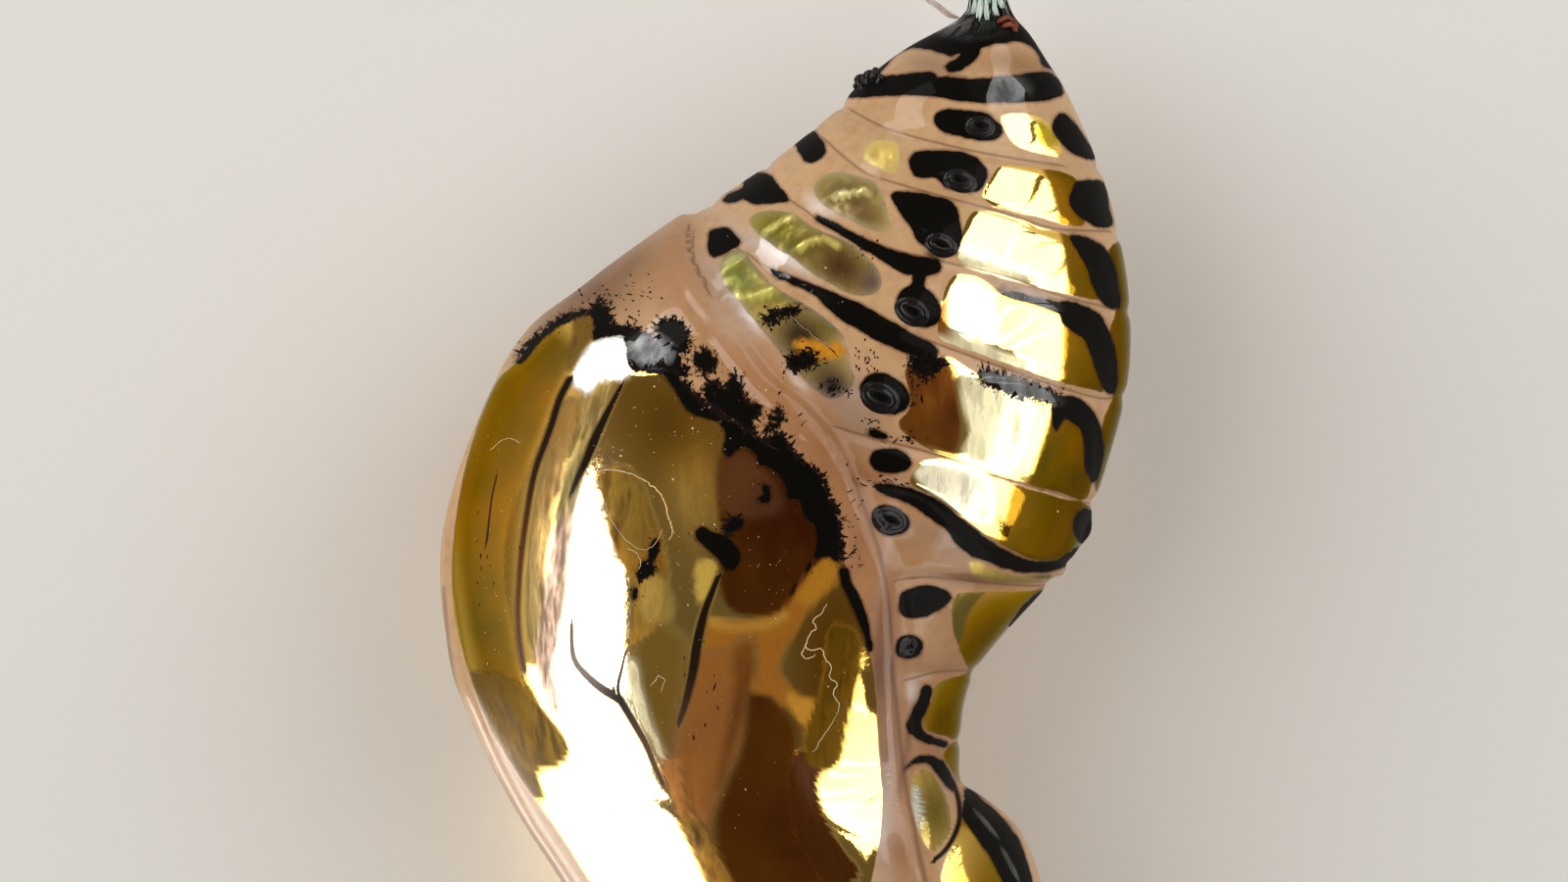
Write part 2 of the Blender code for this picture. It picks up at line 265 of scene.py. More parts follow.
REST_FLAT = 0.12  # how much of the underside is pressed flat


def off_line(co, line):
    """How far each place in co is from a line of points, positive on its right, and the share along it."""
    best, side, along = np.full(len(co), 1e9), np.ones(len(co)), np.zeros(len(co))
    for i, (a, b) in enumerate(zip(line[:-1], line[1:])):
        run = b - a
        share = np.clip(((co - a) @ run) / (run @ run), 0, 1)
        away = co - a - share[:, None] * run
        distance = np.hypot(away[:, 0], away[:, 1])
        nearer = distance < best
        best[nearer] = distance[nearer]
        side[nearer] = np.sign(run[1] * away[nearer, 0] - run[0] * away[nearer, 1])
        along[nearer] = (i + share[nearer]) / (len(line) - 1)
    return best * side, along


def main_forms(grid):
    """How far each point of the loft moves out, and how far inside the fore wing's edge it is, in mm."""
    co, z = grid[:, :, :2].reshape(-1, 2), np.abs(grid[:, :, 2].reshape(-1))
    inside = off_line(co, smooth_line(drawn(FORE_WING_EDGE)))[0]
    case = step(inside + CASE_SLOPE / 2, CASE_SLOPE)
    out = CASE_HEIGHT * case + RIM_HEIGHT * bump(inside - RIM_INSET, RIM_WIDTH) * step(z - 0.4, 1.6)
    beyond = off_line(co, smooth_line(drawn(HIND_WING_EDGE)))[0]
    shown = step(STRIP_TOP - co[:, 1], 0.6) * step(co[:, 1] - STRIP_FOOT, 0.8)
    shown *= step(inside + STRIP_REACH, 0.3)
    out += STRIP_HEIGHT * step(beyond + STRIP_SLOPE / 2, STRIP_SLOPE) * (1 - case) * shown
    for seam in SEAMS:
        out -= SEAM_DEPTH * bump(off_line(co, smooth_line(drawn(seam)))[0], SEAM_WIDTH) * (1 - case)
    out -= FOLD_DEPTH * bump(off_line(co, smooth_line(drawn(THORAX_FOLD)))[0], FOLD_WIDTH) * (1 - case)
    cell = np.hypot(*((co - CELL_CENTRE) / CELL_SIZE).T)
    out += CELL_HEIGHT * bump(cell, 0.8) * (1 - case)
    half = LEGS_HALF_WIDTH * step(LEGS_START - co[:, 1], LEGS_START - LEGS_END)
    on_belly = step(BELLY_SIDE - co[:, 0], BELLY_SIDE) * step(inside, 0.5) * step(half - 0.15, 0.2)
    out -= GROOVE_DEPTH * bump(z - half, GROOVE_WIDTH) * on_belly
    for centre, lean in PORES:
        turn = math.radians(lean)
        away = co - centre
        long = away[:, 0] * math.cos(turn) + away[:, 1] * math.sin(turn)
        short = away[:, 1] * math.cos(turn) - away[:, 0] * math.sin(turn)
        out += PORE_HEIGHT * bump(np.hypot(long / PORE_LENGTH, short / PORE_BREADTH), 0.9)
    top = np.abs(grid[:, :, 2]).max(axis=1).repeat(grid.shape[1])
    for centre, share, height, radius in KNOBS:
        away = np.hypot(*(co - centre).T)
        out += height * bump(np.hypot(away, z - share * top), radius)
    return out.reshape(grid.shape[:2]), inside


def grow_horns(grid):
    """Two blunt horns grow straight towards the head from over the eyes, and a little apart."""
    for side in (-1, 1):
        away = np.hypot(grid[:, :, 0] - HORN_X, grid[:, :, 2] - side * HORN_Z)
        rise = HORN_LENGTH * bump(away, HORN_RADIUS) * step(HORN_START - grid[:, :, 1], 0.6)
        grid[:, :, 1] -= rise
        grid[:, :, 2] += side * HORN_SPREAD * rise


height, wing_inside = main_forms(grid)
grid += normals_of(grid) * height[:, :, None]
grow_horns(grid)
rest_level = grid[:, :, 2].min() + REST_FLAT
print("relief from", height.min().round(2), "to", height.max().round(2), "mm")

# %% [markdown]
# ## Where the eye sees each point
# A marking drawn in the picture has to land on the skin behind it. The camera is 200 mm away, so
# perspective shifts a point by its height: each vertex gets the pixel in which it is seen. The far flank
# uses its own height, mirrored, so both flanks wear the same markings, as the living animal's do.

# %% Picture place of each vertex
def seen_from_above(points):
    """The pixels in which points of the side view are seen, both flanks alike."""
    nearer = EYE_HEIGHT / (EYE_HEIGHT - np.abs(points[:, 2]))
    return PICTURE_CENTRE + (points[:, :2] - eye) * nearer[:, None] / PIXEL * UP


seen = seen_from_above(grid.reshape(-1, 3))
print("the body is seen from pixel", seen.min(axis=0).round(), "to", seen.max(axis=0).round())


def box_around(line, margin):
    """Which vertices are seen within margin pixels of the box around a line. Others need no distance."""
    return ((seen > line.min(axis=0) - margin) & (seen < line.max(axis=0) + margin)).all(axis=1)


FAR, LINE_MARGIN = 1.0, 0.4  # mm: the distance given to what is too far to matter, and how far a line matters


def enclosed(places, closed):
    """Which places are inside a closed line, by how often a ray from each crosses it."""
    odd = np.zeros(len(places), bool)
    for a, b in zip(closed[:-1], closed[1:]):
        spans = (a[1] > places[:, 1]) != (b[1] > places[:, 1])
        odd ^= spans & (places[:, 0] < a[0] + (places[:, 1] - a[1]) * (b[0] - a[0]) / (b[1] - a[1] + 1e-9))
    return odd


def inside_outline(outline, with_along=False):
    """How far each vertex is inside a closed outline, in mm, negative outside, and where along it."""
    line = smooth_ring(outline)
    near = box_around(line, FAR / PIXEL)
    depth, along = np.full(len(seen), -FAR), np.zeros(len(seen))
    if near.any():
        closed = np.vstack([line, line[:1]])
        co = seen[near]
        away, share = off_line(co, closed)
        depth[near] = np.maximum(np.where(enclosed(co, closed), 1, -1) * np.abs(away) * PIXEL, -FAR)
        along[near] = share * np.linalg.norm(np.diff(closed, axis=0), axis=1).sum() * PIXEL
    return (depth, along) if with_along else depth


def deepest(outlines):
    """The same for several outlines at once: the depth inside whichever is deepest."""
    return np.max([inside_outline(outline) for outline in outlines.values()], axis=0)


# %% [markdown]
# ## Markings
# The black marks are melanin laid down in the skin, sharp on the abdomen and frayed along the wing, and the
# gold lies in panels between cream seams. An image texture would be quick, but it blurs close up and
# belongs to one object. Instead each outline is kept as a few points, and every vertex stores how far
# inside it is. The material draws the edge where that distance crosses zero, so it stays sharp at any size.
# The outlines are drawn one by one.

# %% Black marks, in pixels of the picture
BLACK_MARKS = {
    "holdfast":
        "892,86 897,77 905,66 914,57 925,51 940,49 957,53 968,57 980,54 996,50 1013,46 1033,43 1048,45 "
        "1058,54 1068,70 1090,60 1080,-40 880,-40 870,70",
    "tail band": "884,84 930,82 965,79 1000,80 1035,77 1072,74 1084,97 1045,104 990,104 940,97 900,98 866,99",
    "tail drip": "983,40 1002,38 998,56 989,66 978,72 968,73 963,69 968,64 976,60 982,52",
    "wing rim":
        "856,580 867,581 868,594 875,605 882,621 887,640 890,662 885,664 880,646 872,626 864,608 858,596",
    "tail line": "896,84 900,78 925,76 950,74 955,80 925,84",
    "ring 8 oval": "953,122 962,113 985,112 1008,116 1023,130 1018,141 1000,143 975,138 958,132",
    "ring 7 patch":
        "928,163 938,154 971,154 991,158 1007,172 1004,190 992,197 966,192 955,182 936,180 929,172",
    "ring 6 patch": "910,200 920,196 945,198 971,206 978,221 981,245 973,260 954,258 938,248 930,233 918,217",
    "ring 5 pore": "914,312 920,297 934,290 950,298 960,314 957,328 943,334 926,328",
    "ring 4 pore": "877,398 883,386 898,380 915,386 928,402 926,416 910,423 890,414",
    "ring 3 pore": "889,529 894,518 906,515 920,521 929,533 922,544 908,547 895,541",
    "ring 2 pore": "914,660 917,652 928,648 939,652 942,661 936,670 924,672 915,668",
    "seam 3 bar":
        "831,219 850,226 882,243 916,257 948,263 960,268 958,279 944,283 944,292 930,292 933,281 922,279 "
        "901,266 877,252 855,238 835,227",
    "seam 4 bar":
        "787,274 804,280 843,296 882,313 921,335 954,353 956,363 944,368 926,361 901,351 872,334 853,322 "
        "828,299 804,289 791,283",
    "ring 4 oval": "883,441 892,438 906,444 905,448 893,447",
    "ring 3 oval": "888,469 893,460 908,458 924,462 931,471 925,480 906,483 893,479",
    "seam 6 band":
        "893,494 917,495 940,502 963,514 989,536 1024,561 1049,571 1075,572 1097,558 1104,565 1086,579 "
        "1058,585 1032,582 1006,573 987,565 974,553 963,539 946,527 929,515 905,506 895,501",
    "ring 2 blob": "917,618 919,606 932,600 950,598 966,603 971,611 962,620 945,629 928,631 919,626",
    "waist hook":
        "948,699 951,703 947,720 940,738 946,749 966,757 963,762 942,757 926,745 928,732 938,712 942,701",
    "waist arch": "922,786 932,775 945,771 958,774 968,785 974,799 973,808 966,804 959,794 948,780 934,779",
    "thorax stripe":
        "986,803 1007,819 1027,839 1040,859 1048,880 1054,904 1058,940 1054,975 1036,965 1034,930 1022,900 "
        "1013,880 999,859 983,837 982,828 984,815",
    "ring 5 top": "1014,294 1032,297 1052,302 1084,311 1088,324 1076,318 1050,309 1026,303",
    "ring 6 dot": "1020,292 1024,290 1027,293 1023,296",
    "back 8": "1073,130 1087,116 1120,160 1098,158 1082,145",
    "back 7": "1096,187 1110,184 1126,186 1131,205 1135,229 1122,232 1103,223 1090,208",
    "back 6": "1091,241 1115,245 1131,259 1141,290 1142,314 1130,313 1115,295 1105,268",
    "back 5": "1083,308 1114,315 1131,335 1139,368 1138,399 1127,399 1117,378 1107,350 1094,338 1083,328",
    "back 4":
        "1074,409 1101,406 1118,425 1126,452 1121,486 1113,493 1106,477 1105,452 1098,434 1086,428 1076,440",
    "back knob": "1095,528 1103,519 1118,522 1122,540 1112,555 1100,553 1094,542",
    "back 2": "1028,640 1040,620 1055,606 1070,600 1062,615 1045,628",
    "belly 7": "811,144 824,128 836,140 843,153 834,164 821,164",
    "belly 6": "760,182 779,175 792,186 805,205 790,207 772,209 759,201",
    "belly 6 speck": "737,204 745,196 758,193 764,198 756,204 746,207",
    "belly 5": "723,238 733,233 744,234 756,248 746,256 736,261 724,259",
    "shoulder": "1010,1000 1030,985 1046,1000 1052,1030 1040,1050 1024,1035",
    "brow": "886,1168 915,1158 950,1160 985,1150 1000,1160 975,1178 930,1186 895,1184",
}
print(len(BLACK_MARKS), "black marks")

# %% Frayed black marks of the wing case, in pixels of the picture
FRAYED_MARKS = {
    "wing front":
        "529,366 540,350 556,335 575,323 590,318 606,314 613,305 618,312 621,322 628,332 637,334 637,342 "
        "622,343 611,346 606,347 607,334 603,322 590,325 575,331 560,342 545,357 533,371",
    "wing sheen": "637,334 655,338 669,345 687,352 696,370 702,385 690,382 679,380 646,378 641,360",
    "wing blob 1": "669,337 676,328 686,326 696,330 702,342 704,354 696,360 684,352 674,345",
    "wing blob 2": "707,366 717,358 726,360 730,373 721,380 712,377",
    "wing mass":
        "746,384 753,385 757,396 760,407 768,413 775,414 774,421 768,430 767,439 760,437 754,430 745,427 "
        "736,427 735,418 725,413 719,402 721,393 731,391 735,396 742,396",
    "wing band":
        "646,376 664,374 679,374 690,380 700,393 708,402 717,413 726,417 736,427 745,428 765,440 775,447 "
        "783,452 785,447 791,442 800,446 804,455 810,462 818,472 830,479 838,487 843,499 847,511 853,517 "
        "856,530 857,545 857,560 855,575 851,572 845,567 835,570 830,576 820,590 812,600 807,607 806,603 "
        "815,591 822,580 828,570 832,559 833,547 830,535 822,528 817,519 815,511 805,510 802,500 797,488 "
        "790,480 782,475 774,475 773,468 767,460 760,455 752,460 744,467 738,460 740,447 737,432 731,430 "
        "714,425 700,418 688,398 678,384 660,381",
    "band stroke 1": "781,438 784,430 792,418 796,420 791,428 784,439",
    "band stroke 2": "786,441 790,433 797,425 799,428 792,437",
    "cell spot 1":
        "709,544 717,538 727,542 740,547 751,557 755,565 754,573 749,581 742,583 736,575 730,568 722,561 "
        "715,555 711,550",
    "cell spot 2": "778,496 782,494 787,499 787,508 783,513 775,513 773,508 779,505",
    "cell spot 3": "742,533 749,527 758,530 757,538 746,545 739,542",
    "cell chain 0": "663,567 665,552 672,549 674,558 670,569 665,575",
    "cell chain 1": "650,589 654,576 662,572 670,581 664,588 656,591",
    "cell chain 2": "646,600 652,600 650,612 644,612",
    "ring 4 top": "1000,378 1018,380 1044,389 1076,400 1084,412 1062,409 1036,402 1014,395 1002,388",
    "belly scribble": "781,327 786,320 800,316 813,314 811,321 798,324 790,329",
    "belly specks": "804,372 812,362 824,360 834,366 826,374 812,376",
    "ring 4 specks": "930,366 944,362 960,366 958,378 944,384 932,378",
}
print(len(FRAYED_MARKS), "frayed marks")

# %% Gold panels, in pixels of the picture
WING_PANEL = (
    "530,368 545,352 560,338 576,328 592,321 606,321 612,342 637,341 644,376 680,380 700,408 725,425 764,448 "
    "808,480 836,512 850,548 872,600 886,660 893,700 896,760 900,820 895,870 880,930 850,1010 800,1080 "
    "750,1092 700,1040 650,977 606,906 573,854 534,798 500,742 477,681 463,620 462,560 470,500 485,440 "
    "505,392"
)
GOLD_PANELS = {
    "wing": WING_PANEL,
    "ring 8": "1022,119 1040,116 1062,120 1076,133 1083,148 1082,160 1062,157 1040,150 1028,138",
    "ring 7 small": "882,154 892,144 904,144 915,147 918,159 913,176 905,176 898,172 882,163",
    "ring 7":
        "1003,200 1009,186 1022,169 1050,171 1093,179 1100,196 1097,213 1108,226 1096,231 1062,222 1030,213 "
        "1010,208",
    "ring 6":
        "976,266 981,240 990,219 1003,215 1033,222 1064,233 1096,243 1108,262 1116,285 1126,303 1118,306 "
        "1085,299 1040,288 999,277",
    "ring 5":
        "958,343 958,318 970,284 990,281 1007,288 1020,299 1050,307 1083,316 1108,340 1116,366 1126,398 "
        "1112,397 1083,390 1020,368 974,352",
    "ring 4":
        "923,376 944,370 968,364 982,372 1002,384 1032,394 1076,408 1090,410 1114,430 1116,470 1112,500 "
        "1104,510 1080,502 1049,494 998,478 952,460 928,446 916,432 930,412",
    "ring 3":
        "930,494 934,478 948,469 980,474 1032,494 1084,509 1116,520 1112,545 1096,566 1075,572 1052,570 "
        "1022,556 988,532 956,508",
    "ring 3 low": "988,574 1000,573 1020,583 1045,588 1072,586 1064,594 1020,594 994,588",
    "ring 2": "974,608 1000,604 1048,603 1064,602 1030,640 996,682 985,676 972,640",
    "ring 1": "954,700 970,692 993,690 984,720 978,752 962,750 944,744 942,730 950,716",
    "waist side": "962,770 976,756 984,766 984,796 978,798 970,784",
    "waist cell": "930,792 944,784 958,798 968,820 970,846 960,864 948,868 938,850 930,820",
    "thorax side":
        "980,836 992,848 1008,870 1022,896 1032,925 1035,960 1010,985 985,975 968,940 958,915 962,885 "
        "972,862",
    "back strip":
        "1131,254 1160,250 1168,330 1160,400 1152,450 1138,500 1117,500 1123,470 1124,435 1135,404 1137,370 "
        "1132,340 1140,312 1139,285",
    "belly 7": "830,190 846,177 868,178 895,188 905,212 908,232 892,236 862,222 838,208",
    "belly 6": "764,226 780,216 806,218 838,236 870,250 896,275 898,296 872,302 836,284 806,262 782,246",
    "belly 5":
        "738,262 756,256 768,268 790,292 818,308 846,328 862,345 868,372 872,392 850,408 832,398 806,372 "
        "780,340 752,306 736,284",
    "eye": "936,1088 960,1072 990,1074 1008,1096 1002,1126 975,1140 946,1130 932,1110",
    "cheek": "850,1090 880,1078 905,1090 908,1120 885,1140 856,1122",
}
print(len(GOLD_PANELS), "gold panels")

# %% Veins and creases, in pixels of the picture: points, width at the start, width at the end
VEINS = {
    "vein a": (
        "582,388 572,407 564,432 557,452 550,470 545,488 541,508 536,540 532,572 530,600 529,625 531,655 "
        "536,685", 7, 5),
    "vein b": ("635,393 626,410 616,430 606,452", 4, 10),
    "vein b, foot": ("606,452 598,472 590,488 584,503", 10, 3),
    "vein c": ("508,484 503,506 500,530 497,556", 1.2, 2),
    "vein y": ("584,636 584,656 587,674 598,688 614,702 633,713", 3, 10),
    "vein y, foot": ("633,713 646,735 660,760 668,780 677,800", 8, 5),
    "vein y2": ("639,664 635,682 631,700 633,713", 2, 4),
    "vein d": ("733,588 727,604 720,622 715,640 711,660", 5, 12),
    "vein d, foot": ("711,660 707,686 700,716 693,738", 12, 5),
    "hair line": ("806,322 820,334 838,348 852,360", 2, 1),
    "waist edge": ("973,800 978,816 979,836 973,854 964,868 954,877", 5, 4),
}
CREASES = {
    "leg line": (
        "453,600 456,640 462,690 474,730 496,775 520,815 542,850 566,884 590,920 625,970 672,1030", 3, 6),
    "rim line": (
        "872,490 884,524 897,562 903,592 908,630 910,680 914,716 920,766 924,800 932,840 "
        "940,880 950,920", 3, 4),
    "rim crease": ("703,232 701,248 706,265 714,282 724,300", 3, 2),
    "rim crease 2": ("708,240 707,256 712,272 722,290", 2, 2),
    "seam 1": ("868,112 907,132 962,147 1020,159 1083,169", 2, 2),
    "seam 2": ("842,142 860,159 887,178 932,192 983,206 1024,217 1075,233 1130,236", 2, 2),
    "seam 3": ("800,200 833,222 855,232 906,253 954,265 1022,282 1083,302 1139,316", 2, 2),
    "seam 4": ("750,252 787,275 828,290 877,311 925,338 967,355 1047,384 1119,406 1143,403", 2, 2),
    "seam 5": ("850,435 903,450 950,462 998,477 1032,490 1073,502 1112,514", 2, 2),
    "seam 7": ("915,592 946,589 998,594 1049,598 1067,597", 2, 2),
    "seam 8": ("925,694 956,686 993,684", 2, 2),
}

SPLITS = {
    "band line": ("712,405 735,418 742,425 756,435 772,446 790,458", 1.2, 0.6),
}


MANY_WIDTHS = 9.0  # the distance given to what is many half widths from a line


def off_lines(lines):
    """How far each vertex is from the nearest line, in half widths of that line with a sign, and in mm."""
    widths, nearest = np.full(len(seen), MANY_WIDTHS), np.full(len(seen), FAR)
    for text, start, end in lines.values():
        line = smooth_line(drawn(text), 4)
        near = np.flatnonzero(box_around(line, LINE_MARGIN / PIXEL))
        away, along = off_line(seen[near], line)
        closer = np.abs(away) * PIXEL < nearest[near]
        widths[near[closer]] = (away / (start + (end - start) * along) * 2)[closer]
        nearest[near[closer]] = (np.abs(away) * PIXEL)[closer]
    return np.clip(widths, -MANY_WIDTHS, MANY_WIDTHS), nearest


print(len(VEINS), "veins,", len(CREASES), "creases and", len(SPLITS), "splits")

# %% Measure the markings on every vertex
marks = {"black_mm": deepest(BLACK_MARKS), "gold_mm": deepest(GOLD_PANELS)}
marks["wing_mm"] = inside_outline(WING_PANEL)
frayed = [inside_outline(outline, with_along=True) for outline in FRAYED_MARKS.values()]
deeper = np.argmax([depth for depth, _ in frayed], axis=0)
marks["frayed_mm"], marks["along_mm"] = (
    np.array([one[k] for one in frayed])[deeper, np.arange(len(seen))] for k in (0, 1)
)
for name, drawn_lines in (("vein", VEINS), ("crease", CREASES), ("split", SPLITS)):
    marks[name], marks[name + "_mm"] = off_lines(drawn_lines)
marks["rim_mm"] = wing_inside
for name, values in marks.items():
    print(f"{name}: {values.min():.2f} to {values.max():.2f}")

# %% [markdown]
# ## Fine relief
# Each gold panel swells a little over the cream skin around it, which gives it the bright thin rim that a
# mirror's edge shows. The small belly panels are folded, the stalk is fluted, and the whole skin is a
# little uneven, as grown things are. These are tenths of a millimetre and less, so they are added once the
# markings are known.

# %% Swell the panels and crumple the belly
PANEL_SWELL, PANEL_EDGE = 0.02, 0.10  # mm
BELLY_FOLDS = {  # points in pixels, height in mm
    "belly 7 a": ("842,205 858,198 874,199 890,192", 0.055),
    "belly 6 a": ("780,240 794,232 808,222 818,218", 0.05),
    "belly 6 b": ("808,258 828,248 846,246 866,254", 0.06),
    "belly 5 a": ("734,280 750,271 768,262", 0.05),
    "belly 5 b": ("742,302 760,306 782,300 804,290", 0.06),
    "belly 5 c": ("800,318 806,340 812,362", 0.035),
    "belly 5 d": ("812,352 836,358 858,350", 0.04),
}
FOLD_BREADTH = 0.10  # mm
FLUTES, FLUTE_HEIGHT, FLUTE_TWIST, FLUTE_START, FLUTE_FADE = 11, 0.025, 2.5, 9.85, 0.35  # ridges, then mm
RIPPLES = ((1.6, 0.010), (0.45, 0.001))  # size and height in mm


def fine_forms():
    """How far each vertex moves out for the forms of a tenth of a millimetre and less."""
    out = PANEL_SWELL * step(marks["gold_mm"] + PANEL_EDGE / 3, PANEL_EDGE)
    for text, high in BELLY_FOLDS.values():
        line = smooth_line(drawn(text))
        near = box_around(line, LINE_MARGIN / PIXEL)
        out[near] += high * bump(off_line(seen[near], line)[0] * PIXEL, FOLD_BREADTH)
    around = np.tile(np.linspace(0, 2 * math.pi, COLUMNS, endpoint=False), grid.shape[0])
    twisted = np.cos(FLUTES * around + FLUTE_TWIST * grid[:, :, 1].reshape(-1))
    out += FLUTE_HEIGHT * twisted * step(grid[:, :, 1].reshape(-1) - FLUTE_START, FLUTE_FADE)
    return out


def ripple(points, size, height):
    """A gentle unevenness of the given size and height, in mm."""
    return height * np.array([noise.noise(Vector(p) / size) for p in points])


fine = fine_forms()
for size, high in RIPPLES:
    fine += ripple(grid.reshape(-1, 3), size, high)
grid += normals_of(grid) * fine.reshape(grid.shape[:2])[:, :, None]
grid[:, :, 2] = np.maximum(grid[:, :, 2], rest_level)
print("fine relief from", fine.min().round(3), "to", fine.max().round(3), "mm")

# %% [markdown]
# ## Into the frame
# The CAD model's box says where the body is: its middle in x, its head end in y, and the floor at z = 0.
# One shift takes the side view there.

# %% Shift to the CAD box and build the shell
low, high = grid.reshape(-1, 3).min(axis=0), grid.reshape(-1, 3).max(axis=0)
origin = low - body_low
origin[0] = (low[0] + high[0] - body_low[0] - body_high[0]) / 2
print("side view's origin in the frame, mm:", -origin.round(3))


def add_object(name, points, faces, finish):
    """A smooth-shaded mesh object. The points are in mm of the side view."""
    mesh = bpy.data.meshes.new(name)
    mesh.from_pydata(((np.asarray(points) - origin) * MM).tolist(), [], faces)
    mesh.materials.append(finish)
    mesh.shade_smooth()
    made = bpy.data.objects.new(name, mesh)
    bpy.context.scene.collection.objects.link(made)
    return made


def skin_faces(rows, columns):
    """Quads between the rows of a grid, and a fan to one point at each end."""
    last = (rows - 1) * columns
    tail, head = rows * columns, rows * columns + 1
    faces = []
    for c in range(columns):
        d = (c + 1) % columns
        faces += [(r + c, r + columns + c, r + columns + d, r + d) for r in range(0, last, columns)]
        faces += [(tail, c, d), (head, last + d, last + c)]
    return faces


# %% [markdown]
# ## Materials
# One function adds a node, sets it and links it, and one turns an sRGB hex colour to linear. Every material
# below is a single Principled shader, because glass-clear layers over a colour are just what its coat
# describes. The small pieces have two tones in soft clouds, since nothing that grew or was spun is of one
# even colour.

# %% Material helpers
def linear(hex_colour):
    """An sRGB colour such as "#E1B459" as linear red, green, blue and 1."""
    parts = [int(hex_colour[i:i + 2], 16) / 255 for i in (1, 3, 5)]
    return (*(c / 12.92 if c <= 0.04045 else ((c + 0.055) / 1.055) ** 2.4 for c in parts), 1)


def add(tree, kind, *inputs, **settings):
    """A node of that kind, and its outputs. Its inputs are numbers, colours or other nodes' outputs.

    They come one after the other from the first socket on, or by name in one dictionary."""
    made = tree.nodes.new("ShaderNode" + kind)
    for key, value in settings.items():
        setattr(made, key, value)
    by_name = inputs[0] if inputs and isinstance(inputs[0], dict) else dict(enumerate(inputs))
    for key, value in by_name.items():
        if isinstance(value, bpy.types.NodeSocket):
            tree.links.new(value, made.inputs[key])
        else:
            made.inputs[key].default_value = value
    return made.outputs


def new_material(name, **sockets):
    """A material, its node tree and its one Principled shader. The sockets are constants of the finish."""
    made = bpy.data.materials.new(name)
    made.use_nodes = True
    shader = made.node_tree.nodes["Principled BSDF"]
    for key, value in sockets.items():
        shader.inputs[key.replace("_", " ")].default_value = value
    return made, made.node_tree, shader


def clouded(name, size, dark, light, **sockets):
    """A material of two tones in soft clouds of a real size, in mm."""
    made, tree, shader = new_material(name, **sockets)
    place = add(tree, "TexCoord")["Object"]
    cloud = add(tree, "TexNoise", {"Vector": place, "Scale": 1 / (size * MM), "Detail": 2.0})["Fac"]
    shade = add(tree, "Mix", {0: cloud, 6: linear(dark), 7: linear(light)}, data_type="RGBA")[2]
    tree.links.new(shade, shader.inputs["Base Color"])
    return made


print("mid grey is", round(linear("#808080")[0], 3), "in linear light")

# %% [markdown]
# ## The gold and cream skin
# The skin is chitin, a clear horny plastic, hardened in place like a moulding and as glossy as lacquer.
# Where its layers are evenly thin it turns into a mirror of green-gold to red-gold, elsewhere it is cream
# with a little light going through it, and melanin makes it black. The tones inside each of these are soft,
# so they are worked out at the vertices, as dabs of colour and as patches with a soft edge. Some of these
# are painted light: pale ones are painted highlights and sheen, and dark olive and copper ones are painted
# shade in the mirror. Everything sharp is left to the distances.

# %% Soft dabs of colour
CREAM, SALMON, LILAC_SHEEN, BLUSH, TAN = "#D6AE82", "#A26B42", "#9C8678", "#C4946A", "#B98558"
GOLD, OLIVE_SHADE, AMBER, COPPER_AND_SHADE, VEIN = "#E6C26A", "#6E5820", "#C98218", "#6E3416", "#1E1208"
